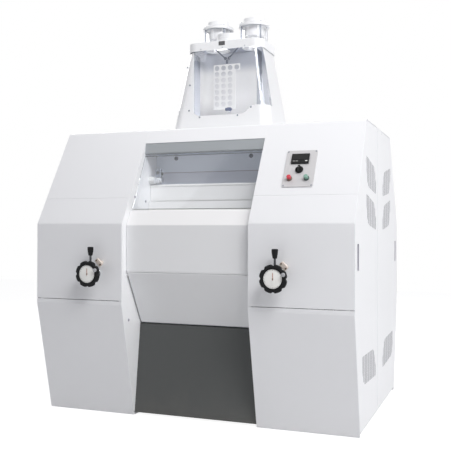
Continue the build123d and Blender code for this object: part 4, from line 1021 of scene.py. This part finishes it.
# %% Sizes of a station
# Levels count out of the casing's face along the spindle
wheel_back, wheel_face = 0.077, 0.099
wheel_radius, dial_radius = 0.075, 0.052
dial_level = wheel_face - 0.002
card_foot = dial_level - 0.002
card_radius, well_radius = dial_radius - 0.002, dial_radius + 0.004
spindle_tip, spindle_radius = -0.2215, 0.012
hub_start, hub_radius = 0.069, 0.022
crank_reach, crank_turn = 0.065, math.radians(21)
crank_level = wheel_face - 0.0005
crank_foot = Vector((crank_reach * math.cos(crank_turn), crank_reach * math.sin(crank_turn), crank_level))
ring_start, ring_end = 0.052, 0.066
rod_level = (ring_start + ring_end) / 2
grip_start, grip_end = 0.103, 0.153


def station_matrix(node):
    """Turns station coordinates, X to the operator's right and Z at the operator, into place."""
    centre = Vector(joint_of[f"{node}_turn"]["pos_m"])
    way = math.copysign(1.0, centre.y)
    turn = Matrix(((-way, 0, 0), (0, 0, way), (0, 1, 0))).to_4x4()
    return Matrix.Translation(centre) @ turn


print("wheels of", 2 * wheel_radius, "m")

# %% Profiles of a handwheel
rim_values = {
    "Radius": wheel_radius,
    "Inner Radius": dial_radius,
    "Thickness": wheel_face - wheel_back,
    "Lobes": 8,
    "Notch Depth": 0.007,
    "Finish": black_moulding,
}
dial_marks = {
    "fine_marks": {"Count": 100, "Radius": 0.0465, "Length": 0.003, "Width": 0.0004, "Finish": ink},
    "main_marks": {"Count": 20, "Radius": 0.0455, "Length": 0.006, "Width": 0.0008, "Finish": ink},
}
needle_outline = [(-0.0016, -0.008), (0.0016, -0.008), (0.0012, 0.028), (0.0, 0.033), (-0.0012, 0.028)]
needle_foot, needle_top = 0.0004, 0.0014
wheel_face_profile = [(0, wheel_back), (well_radius, wheel_back), (well_radius, card_foot), (0, card_foot)]
bezel_profile = [(card_radius, card_foot), (dial_radius + 0.003, card_foot),
                 (dial_radius + 0.0025, wheel_face + 0.0006), (dial_radius, wheel_face + 0.001),
                 (card_radius, wheel_face), (card_radius, card_foot)]
card_profile = [(0, card_foot), (card_radius, card_foot), (card_radius, dial_level - 0.0004),
                (card_radius - 0.002, dial_level), (0, dial_level)]
cap_profile = [(0, 0.0), (0.0038, 0.0), (0.0038, 0.0022), (0.003, 0.003), (0, 0.0032)]
knob_profile = [(0, 0.0), (0.005, 0.0), (0.0048, 0.004), (0.0070, 0.0042), (0.0085, 0.008),
                (0.0105, 0.0135), (0.0109, 0.0160), (0.0104, 0.0180), (0.0085, 0.0195),
                (0.0050, 0.0203), (0, 0.0205)]
spindle_profile = [(0, spindle_tip), (spindle_radius - 0.0008, spindle_tip),
                   (spindle_radius, spindle_tip + 0.001), (spindle_radius, hub_start),
                   (hub_radius, hub_start), (hub_radius, wheel_back), (0, wheel_back)]
print("a knob of", len(knob_profile), "points and a dial of", dial_marks["fine_marks"]["Count"], "marks")

# %% Build the four handwheels


def build_handwheel(node):
    """Rim, face, bezel, finger knob and spindle of one handwheel, and its dial."""
    matrix = station_matrix(node)
    body = body_of[node]
    rim = grow(rim_tree, rim_values)
    rim.transform(matrix @ Matrix.Translation((0, 0, (wheel_back + wheel_face) / 2)))
    add_piece(f"{node}_rim", rim, body, (node,))
    turned_piece(f"{node}_face", wheel_face_profile, black_moulding, body, matrix)
    turned_piece(f"{node}_bezel", bezel_profile, black_gloss, body, matrix)
    knob_matrix = matrix @ Matrix.Translation(crank_foot)
    turned_piece(f"{node}_knob", knob_profile, knob_steel, body, knob_matrix, steps=48)
    turned_piece(f"{node}_spindle", spindle_profile, bright_steel, body, matrix, steps=48)
    build_dial(node, body, matrix)


def build_dial(node, body, matrix):
    """Card, marks, needle and needle cap of one dial."""
    turned_piece(f"{node}_dial", card_profile, dial_card, body, matrix)
    lift = matrix @ Matrix.Translation((0, 0, dial_level))
    for label, values in dial_marks.items():
        marks = grow(marks_tree, values)
        marks.transform(lift)
        add_piece(f"{node}_{label}", marks, body)
    needle = own_mesh(f"{node}_needle", prism(needle_outline, needle_foot, needle_top), [needle_red], 30.0)
    needle.transform(lift)
    add_piece(f"{node}_needle", needle, body)
    turned_piece(f"{node}_cap", cap_profile, bronze, body, lift, steps=32)


for face in faces:
    for side in sides:
        build_handwheel(f"{face}_{side}_handwheel")

# %% Build the four levers
ring_bore, ring_radius, ring_edge = 0.0201, 0.032, 0.002
rod_start, rod_radius = 0.024, 0.006
neck_radius, grip_radius = 0.0125, 0.0173
grip_steps = 8


def grip_profile():
    """The grip's outline from its neck to its round end, swelling along a sine."""
    points = [(rod_radius, grip_start), (0.0095, grip_start), (0.0118, grip_start + 0.003)]
    length = grip_end - grip_start - 0.012
    for index in range(grip_steps + 1):
        share = index / grip_steps
        radius = neck_radius + (grip_radius - neck_radius) * math.sin(share * math.pi / 2)
        points.append((radius, grip_start + 0.006 + share * length))
    points += [(0.0168, grip_end - 0.003), (0.0150, grip_end - 0.0008), (0.012, grip_end), (0, grip_end)]
    return points


def build_lever(node):
    """Ring, rod and tapered grip of one lever."""
    matrix = station_matrix(node)
    body = body_of[node]
    ring = ring_profile(ring_bore, ring_radius, ring_start, ring_end, ring_edge)
    turned_piece(f"{node}_ring", ring, dark_steel, body, matrix, (node,), steps=48)
    along = matrix @ Matrix.Translation((0, 0, rod_level)) @ Matrix.Rotation(math.radians(-90), 4, "X")
    rod_end = grip_start + 0.004
    rod = [(0, rod_start), (rod_radius, rod_start), (rod_radius, rod_end), (0, rod_end)]
    turned_piece(f"{node}_rod", rod, dark_steel, body, along, steps=24)
    turned_piece(f"{node}_grip", grip_profile(), black_moulding, body, along, steps=48)


for face in faces:
    for side in sides:
        build_lever(f"{face}_{side}_lever")

# %% Bushes and clamp blocks
clamp_offset = Vector((0.042, 0.064, 0.044))
clamp_screw_reach = 0.0175
bush_reach = 0.045
stations = [station_matrix(f"{face}_{side}_handwheel") for face in faces for side in sides]


def is_clamp(spot, way):
    """1 for the blocks beside the spindles, 0 for the bushes on them."""
    nearest = min((station.translation for station in stations), key=lambda centre: (centre - spot).length)
    return int(math.hypot(spot.x - nearest.x, spot.z - nearest.z) > bush_reach)


dress("spindle_bushes", bright_steel, ivory, pick=is_clamp, edge=0.0015)
clamp_screws = []
for station in stations:
    way = station.to_3x3() @ Vector((0, 0, 1))
    for turn in (-1, 1):
        reach = Vector((turn, -turn, 0)).normalized() * clamp_screw_reach
        clamp_screws.append((station @ (clamp_offset + reach), way))
screws("clamp_screws", clamp_screws, 0.0036, 0.003, bronze, sides_of_head=16)
print(len(clamp_screws), "clamp screws")

# %% [markdown]
# ## Control plate
# The panel on the slope has a display, a selector and two buttons. The nodes carry their true
# outlines, so they are only dressed, and the glass of the display, its keys and the selector's mark
# are laid on them in the plane of the slope.

# %% Dress the panel
slope_low = Vector((0.0, -0.780, 1.122))
slope_high = Vector((0.0, -0.434, 1.700))
slope_up = (slope_high - slope_low).normalized()
slope_out = Vector((1, 0, 0)).cross(slope_up)
plate_lift = 0.005


def on_slope(x, climb, lift):
    """A point on the front slope: x across, climb up from the knee, lift out of the sheet."""
    return slope_low + Vector((x, 0, 0)) + slope_up * climb + slope_out * lift


def slope_matrix(x, climb, lift):
    """Turns flat coordinates into place on the slope."""
    turn = Matrix((Vector((1, 0, 0)), slope_up, slope_out)).transposed().to_4x4()
    return Matrix.Translation(on_slope(x, climb, lift)) @ turn


display_x, display_climb, display_reach = 0.6135, 0.409, 0.075
plate_low, plate_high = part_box("control_plate")
plate_x, plate_half_width = (plate_low.x + plate_high.x) / 2, (plate_high.x - plate_low.x) / 2
plate_climb, plate_half_height, screw_inset = 0.348, 0.1215, 0.009


def fitting(spot, way):
    """0 for the display, 1 for the ring of the stop button, 2 for that of the start button."""
    if (spot - on_slope(display_x, display_climb, 0)).length < display_reach:
        return 0
    return 1 if spot.x < display_x else 2


dress("control_plate", plate_coat, edge=0.0010)
dress("panel_fittings", black_moulding, bronze, start_base, pick=fitting, edge=0.0012)
dress("selector_knob", black_gloss, edge=0.0015)
dress("stop_button", stop_red, edge=0.0)
dress("start_button", start_green, edge=0.0)
corner_x, corner_climb = plate_half_width - screw_inset, plate_half_height - screw_inset
panel_screws = [
    (on_slope(plate_x + sx * corner_x, plate_climb + sy * corner_climb, plate_lift), slope_out)
    for sx in (-1, 1) for sy in (-1, 1)
]
screws("panel_screws", panel_screws, 0.0032, 0.0018, rod_grey, sides_of_head=16)
print(len(panel_screws), "panel screws")

# %% Lay the display's glass and keys


def pad(name, width, height, depth, corner, matrix, material, body="machine"):
    """A flat pad with round corners, standing on the origin of its matrix."""
    steps = 5
    outline = []
    for quarter, (sx, sy) in enumerate(((1, 1), (-1, 1), (-1, -1), (1, -1))):
        middle = (sx * (width / 2 - corner), sy * (height / 2 - corner))
        for index in range(steps + 1):
            turn = math.radians(90 * (quarter + index / steps))
            outline.append((middle[0] + corner * math.cos(turn), middle[1] + corner * math.sin(turn)))
    mesh = own_mesh(name, prism(outline, 0, depth), [material], 30.0)
    mesh.transform(matrix)
    return add_piece(name, mesh, body, edge=min(depth, corner) / 4)


display_face = plate_lift + 0.009
screen = slope_matrix(display_x, display_climb + 0.009, display_face)
pad("display_glass", 0.087, 0.037, 0.0008, 0.003, screen, black_gloss)
key_drop = 0.018
keys = [(-0.033, 0.013, strip_grey), (-0.017, 0.013, strip_grey), (0.006, 0.012, black_gloss),
        (0.036, 0.013, key_white)]
for index, (shift, width, material) in enumerate(keys):
    key = slope_matrix(display_x + shift, display_climb - key_drop, display_face)
    pad(f"display_key_{index}", width, 0.0056, 0.0012, 0.0020, key, material)
selector_x, selector_climb = joint_of["selector_knob_turn"]["pos_m"][0], 0.337
selector_gap, selector_base, selector_height = 0.0003, 0.007, 0.014
selector_top = plate_lift + selector_gap + selector_base + selector_height
mark = slope_matrix(selector_x, selector_climb + 0.008, selector_top)
pad("selector_mark", 0.0020, 0.009, 0.0004, 0.0008, mark, key_grey, body="selector_knob")
print(len(keys), "keys")

# %% [markdown]
# ## Hood fittings
# The clear front is held to the hood by small screws, the sight glasses by rods with nuts, and a
# bare plate sits on the cap. A small valve stands at the foot of the window, and the spigot of the
# air duct has beads that grip its sleeve. The hood tapers, so a screw's place and the way that it
# faces come from the lean of its sheet.

# %% Screws and nuts of the hood
hood_low, hood_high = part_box("hood_shell")
hood_foot, hood_top = hood_low.z, hood_high.z
hood_foot_depth, hood_top_depth = hood_high.y, 0.153
hood_foot_half, hood_top_half = hood_high.x, 0.239
front_lean = (hood_foot_depth - hood_top_depth) / (hood_top - hood_foot)
side_lean = (hood_foot_half - hood_top_half) / (hood_top - hood_foot)
front_spots = [(-0.217, 2.010), (-0.212, 1.844), (-0.137, 1.797), (0.117, 1.797), (0.202, 1.844)]
side_levels, side_depth = (1.900, 2.020, 2.140), -0.126
cap_screw_level = 2.240
rod_circle, flange_thickness = 0.093, 0.016
up = Vector((0, 0, 1))

front_way = Vector((0, -1, front_lean)).normalized()
window_screws = [
    (Vector((x, -hood_foot_depth + (z - hood_foot) * front_lean, z)), front_way) for x, z in front_spots
]
for sx in sides.values():
    for z in side_levels:
        spot = Vector((sx * (hood_foot_half - (z - hood_foot) * side_lean), side_depth, z))
        window_screws.append((spot, Vector((sx, 0, side_lean)).normalized()))
screws("hood_window_screws", window_screws, 0.0042, 0.0026, rod_grey, sides_of_head=16)
cap_low, cap_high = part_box("hood_cap")
cap_screws = [
    (Vector((x, way * cap_high.y, cap_screw_level)), Vector((0, way, 0)))
    for x in (-0.153, -0.006, 0.143) for way in faces.values()
]
screws("cap_screws", cap_screws, 0.0036, 0.0022, seal_grey, sides_of_head=16)
nuts = []
for sx in sides.values():
    for quarter in range(4):
        turn = math.radians(45 + 90 * quarter)
        x, y = sx * spout_x + rod_circle * math.cos(turn), spout_y + rod_circle * math.sin(turn)
        nuts += [(Vector((x, y, level)), up) for level in (glass_high.z + flange_thickness, cap_top)]
screws("tie_rod_nuts", nuts, 0.0060, 0.0070, bright_steel)
print(len(window_screws), "window screws,", len(nuts), "nuts")

# %% Seals and seats of the sight glasses
seal_height, seat_height = 0.003, 0.024
seal = ring_profile(glass_radius - 0.006, glass_radius + 0.002, 0.0, seal_height, 0.0005)
seat = ring_profile(glass_radius + 0.0006, glass_radius + 0.0050, 0.0, seat_height, 0.001)
for side, sx in sides.items():
    foot = Matrix.Translation((sx * spout_x, spout_y, cap_top))
    rim = Matrix.Translation((sx * spout_x, spout_y, glass_high.z - seal_height))
    turned_piece(f"{side}_glass_lower_seal", seal, seal_grey, "machine", foot)
    turned_piece(f"{side}_glass_upper_seal", seal, seal_grey, "machine", rim)
    turned_piece(f"{side}_glass_seat", seat, hood_coat, "machine", foot)
print("glasses of", round(2 * glass_radius, 3), "m seated")

# %% Plate, valve and beads
upright = Matrix(((1, 0, 0), (0, 0, -1), (0, 1, 0))).to_4x4()
plate_seat = Matrix.Translation((-0.010, cap_low.y, 2.2675)) @ upright
pad("cap_plate", 0.042, 0.026, 0.0012, 0.002, plate_seat, bare_plate)
valve_depth = -0.190
stem = [(0, 0.0), (0.012, 0.0), (0.012, 0.004), (0.007, 0.005), (0.007, 0.016), (0, 0.016)]
stem_seat = Matrix.Translation((0.046, valve_depth, 1.822))
turned_piece("valve_stem", stem, bright_steel, "machine", stem_seat, steps=24)
valve = [(0, 0.0), (0.008, 0.0), (0.010, 0.002), (0.010, 0.014), (0.0125, 0.015), (0.0125, 0.034),
         (0.011, 0.036), (0.006, 0.037), (0.006, 0.042), (0, 0.042)]
valve_seat = Matrix.Translation((0.026, valve_depth, 1.842)) @ Matrix.Rotation(math.radians(90), 4, "Y")
turned_piece("sample_valve", valve, valve_blue, "machine", valve_seat, steps=32)
spigot_y, spigot_radius = -0.064, 0.075
bead = ring_profile(spigot_radius - 0.001, spigot_radius + 0.0016, 0.0, 0.003, 0.001)
bead_levels = (2.299, 2.313, 2.327)
for index, level in enumerate(bead_levels):
    bead_seat = Matrix.Translation((0, spigot_y, level))
    turned_piece(f"spigot_bead_{index}", bead, hood_coat, "machine", bead_seat)
print("plate, valve and", len(bead_levels), "beads in place")

# %% [markdown]
# ## The window's flange
# The clear front bends round the hood's corners, and behind its left bend a white flange of the hood
# shows through. It follows the taper and the round corner, so its points come from a formula: a flat
# stretch beside the window's opening, an arc round the corner, and a straight end along the side. Two
# such grids, one sheet thickness apart, are joined along their edges.

# %% The flange behind the left bend
hood_corner, window_rear = 0.070, -0.109
window_edge, window_edge_level, window_edge_lean = -0.184, 1.881, 0.065
flange_foot, flange_height, flange_rows, flange_columns = 1.800, 0.428, 8, 18
flange_front, flange_back = 0.0046, 0.0062


def bend_row(level, inset):
    """Points along the inside of the hood's left front bend at a height, from the window outwards."""
    climb = (level - hood_foot) / (hood_top - hood_foot)
    half = hood_foot_half + (hood_top_half - hood_foot_half) * climb
    deep = hood_foot_depth + (hood_top_depth - hood_foot_depth) * climb
    bend = hood_corner - inset
    edge = window_edge - (level - window_edge_level) * window_edge_lean
    middle = hood_corner - half
    flat = max(0.0, edge - middle)
    turn = math.asin(max(0.0, middle - edge) / bend)
    arc = (math.pi / 2 - turn) * bend
    length = flat + arc + max(0.0, window_rear - (hood_corner - deep))
    points = []
    for index in range(flange_columns):
        along = length * index / (flange_columns - 1)
        angle = turn + min(max(0.0, along - flat), arc) / bend
        x = edge - along if along < flat else middle - bend * math.sin(angle)
        straight = max(0.0, along - flat - arc)
        points.append((x, hood_corner - deep - bend * math.cos(angle) + straight, level))
    return points


def sheet_between(name, outer, inner, material, slot):
    """A thin sheet between two grids of points, each a list of rows."""
    shape = bmesh.new()
    layers = [[[shape.verts.new(point) for point in row] for row in grid] for grid in (outer, inner)]
    rows, columns = len(outer), len(outer[0])
    for layer in layers:
        for near, far in zip(layer, layer[1:]):
            for column in range(columns - 1):
                shape.faces.new([near[column], near[column + 1], far[column + 1], far[column]])
    rim = [(0, column) for column in range(columns)]
    rim += [(row, columns - 1) for row in range(1, rows)]
    rim += [(rows - 1, column) for column in range(columns - 2, -1, -1)]
    rim += [(row, 0) for row in range(rows - 2, 0, -1)]
    front, back = layers
    for (row, column), (next_row, next_column) in zip(rim, rim[1:] + rim[:1]):
        shape.faces.new([front[row][column], front[next_row][next_column],
                         back[next_row][next_column], back[row][column]])
    bmesh.ops.recalc_face_normals(shape, faces=shape.faces)
    return add_piece(name, own_mesh(name, shape, [material], 40.0), "machine")


flange_levels = [flange_foot + flange_height * index / (flange_rows - 1) for index in range(flange_rows)]
flange_grids = [[bend_row(level, inset) for level in flange_levels] for inset in (flange_front, flange_back)]
sheet_between("window_flange", *flange_grids, hood_coat, "white_paint")
print("flange of", len(flange_levels), "rows")

# %% [markdown]
# ## Feed and bay hardware
# Behind the feed window are a lining with its seal, the sleeves and the clamp that hold the gate's rod,
# a bright tray lip before the gate, and the bolts of the frame walls. They are small, but the eye reads
# the depth of the bay from them. Most are flat bars across the bay, so one function makes them for
# either face from a half width, two depths and two heights.

# %% Lining and tray lip
half_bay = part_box("centre_roof")[1].x
feed_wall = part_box("feed_box")[1].y
lining_face = feed_wall + 0.003
lining_foot, lining_top = 1.444, 1.690


def block(name, corner, opposite, material, edge=0.0008, body="machine"):
    """A block between two opposite corners, with soft edges."""
    shape = bmesh.new()
    bmesh.ops.create_cube(shape, size=1.0)
    low = Vector([min(pair) for pair in zip(corner, opposite)])
    high = Vector([max(pair) for pair in zip(corner, opposite)])
    for vert in shape.verts:
        share = vert.co + Vector((0.5, 0.5, 0.5))
        vert.co = low + Vector([part * size for part, size in zip(share, high - low)])
    mesh = own_mesh(name, shape, [material], 30.0)
    return add_piece(name, mesh, body, edge=edge)


def bar(face, name, half, depths, heights, material, body="machine"):
    """A flat bar across the bay on one face, between two depths from the middle and two heights."""
    near, far = (faces[face] * depth for depth in depths)
    foot, top = heights
    block(f"{face}_{name}", (-half, near, foot), (half, far, top), material, body=body)


for face in faces:
    bar(face, "lining", half_bay - 0.001, (feed_wall, lining_face), (lining_foot, lining_top), bay_lining)
    bar(face, "lining_seal", half_bay - 0.001, (feed_wall, feed_wall + 0.005),
        (lining_foot - 0.004, lining_foot), pull_grey)
    bar(face, "tray_lip", half_bay - 0.004, (0.443, 0.446), (1.203, 1.258), gate_steel)

# %% Sleeves and clamp of the gate's rod
gate_depth, gate_level = 0.425, 1.390
clamp_left, clamp_right, clamp_near, clamp_far = -0.343, -0.305, 0.402, 0.428
clamp_foot, clamp_head = 1.400, 1.460
sleeve_end, collar_end = 0.036, 0.086
sleeve = [(0, 0.0), (0.021, 0.0), (0.0225, 0.0015), (0.0225, 0.034), (0.021, sleeve_end), (0, sleeve_end)]
collar = [(0, sleeve_end), (0.023, sleeve_end), (0.0235, 0.038), (0.0235, 0.050), (0.0205, 0.0515),
          (0.0205, 0.060), (0.0230, 0.0615), (0.0230, 0.074), (0.016, 0.076), (0.016, collar_end),
          (0, collar_end)]
for face, way in faces.items():
    for side, sx in sides.items():
        inwards = Matrix.Rotation(math.radians(-90 * sx), 4, "Y")
        seat = Matrix.Translation((sx * half_bay, way * gate_depth, gate_level)) @ inwards
        turned_piece(f"{face}_{side}_gate_sleeve", sleeve, key_white, "machine", seat,
                     steps=40)
        if side == "left":
            turned_piece(f"{face}_gate_collar", collar, bright_steel, "machine", seat, steps=40)
    block(f"{face}_gate_clamp", (clamp_left, way * clamp_near, clamp_foot),
          (clamp_right, way * clamp_far, clamp_head), rod_grey, edge=0.006)

# %% Bolts of the bay
feed_bolts, clamp_bolts, cheek_bolts = [], [], []
cheek_spots = ((0.621, 1.281), (0.483, 1.259), (0.695, 0.564))
for way in faces.values():
    out = Vector((0, way, 0))
    clamp_bolts.append((Vector((-0.325, way * clamp_far, 1.436)), out))
    clamp_bolts.append((Vector((clamp_right, way * 0.414, 1.430)), Vector((1, 0, 0))))
    for sx in sides.values():
        feed_bolts.append((Vector((sx * 0.245, way * lining_face, 1.530)), out))
        for depth, height in cheek_spots:
            cheek_bolts.append((Vector((sx * half_bay, way * depth, height)), Vector((-sx, 0, 0))))
screws("feed_bolts", feed_bolts, 0.0095, 0.006, hanger_grey)
screws("clamp_bolts", clamp_bolts, 0.0085, 0.006, dark_steel)
screws("cheek_bolts", cheek_bolts, 0.0065, 0.003, pull_grey)
print(len(feed_bolts) + len(clamp_bolts) + len(cheek_bolts), "bolts in the bay")

# %% [markdown]
# ## Inside the hood
# The feeler hangs in the stream of grain and tells how full the hood is. A sleeve grips its stem. A thin grey film
# behind the plate is a painted shadow: it darkens the holes as the plate's shadow on the bright wall beyond would,
# and more towards the top. Two guide plates keep the grain on it, and their blue-grey, darker at the top, is
# painted shade along the hood's inner sides. All are thin flat sheets, and plain blocks are enough.

# %% Sleeve, film and guide plates
# The film behind the feeler's holes is a painted shadow
film_front, film_rear = -0.0984, -0.0978
shadow_films = {
    "feeler_shadow_film": ((-0.088, 1.863), (0.058, 2.143)),
    "feeler_shadow_film_end": ((0.045, 2.109), (0.088, 2.144)),
}
guide_x, guide_half = 0.213, 0.0015
block("feeler_sleeve", (-0.0064, -0.1022, 2.1485), (0.0064, film_rear, 2.1770), hanger_grey,
      body="feeler_plate")
for name, ((left, foot), (right, top)) in shadow_films.items():
    block(name, (left, film_front, foot), (right, film_rear, top), shadow_film_grey, edge=0.0,
          body="feeler_plate")
# Guide plates whose blue-grey stands in for shade along the hood's inner sides
for side, sx in sides.items():
    block(f"{side}_guide_plate", (sx * guide_x - guide_half, -0.130, 1.760),
          (sx * guide_x + guide_half, -0.036, 2.222), guide_shade_steel)

# %% [markdown]
# ## Seals and strips
# Sheet panels meet with gaps. A rest and two seals close those between the roll door and the flap, a
# dark seal runs along the kick panel's foot, and thin strips lie under the skirts and along the slanted
# seams. A seal on a panel that moves rides with that panel.

# %% Seals and strips of the casing
seal_half, seal_front = 0.376, 0.7262
strip_inner, strip_outer = 0.381, 0.949
seam_x, seam_climb, seam_sink = 0.665, 0.175, -0.0034
for face, way in faces.items():
    bar(face, "door_rest", half_bay, (0.683, 0.689), (0.834, 0.854), seal_grey)
    bar(face, "door_seal", seal_half, (0.7225, seal_front), (0.8445, 0.8515), door_coat,
        body=f"{face}_roll_door")
    bar(face, "flap_seal", seal_half, (0.7180, seal_front), (0.8370, 0.8425), door_coat,
        body=f"{face}_lower_flap")
    bar(face, "kick_seal", 0.378, (0.6125, 0.6165), (0.0145, 0.0260), kick_coat)
    half_turn = Matrix.Rotation(math.radians(90 * (1 + way)), 4, "Z")
    for sx in sides.values():
        block(f"{face}_skirt_strip_{sx}", (sx * strip_inner, way * 0.6215, 0.0004),
              (sx * strip_outer, way * 0.6258, 0.0054), white_coat)
        seam = half_turn @ slope_matrix(sx * seam_x, seam_climb, seam_sink)
        pad(f"{face}_seam_strip_{sx}", 0.567, 0.0028, 0.0022, 0.0004, seam, white_coat)

# %% [markdown]
# ## Bolts of the works
# Behind the louvred doors the bearings are bolted to the frame walls. The same screw tree serves.

# %% Bearing bolts
flange_face, bolt_circle, bolt_count = 0.418, 0.085, 6
bearing_bolts = []
for face in faces:
    roll = Vector(joint_of[f"{face}_fast_roll_spin"]["pos_m"])
    for sx in sides.values():
        for index in range(bolt_count):
            turn = 2 * math.pi * (index + 0.5) / bolt_count
            y = roll.y + bolt_circle * math.cos(turn)
            z = roll.z + bolt_circle * math.sin(turn)
            bearing_bolts.append((Vector((sx * flange_face, y, z)), Vector((sx, 0, 0))))
screws("bearing_bolts", bearing_bolts, 0.008, 0.008, dark_steel)
print(len(bearing_bolts), "bearing bolts")

# %% [markdown]
# ## Size of the dressed machine
# The box of all that is shown is printed. The dressed machine has to stay inside the
# box of its solids.

# %% Write the sizes
low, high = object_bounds()
print("visual box", [round(value, 4) for value in (*low, *high)])
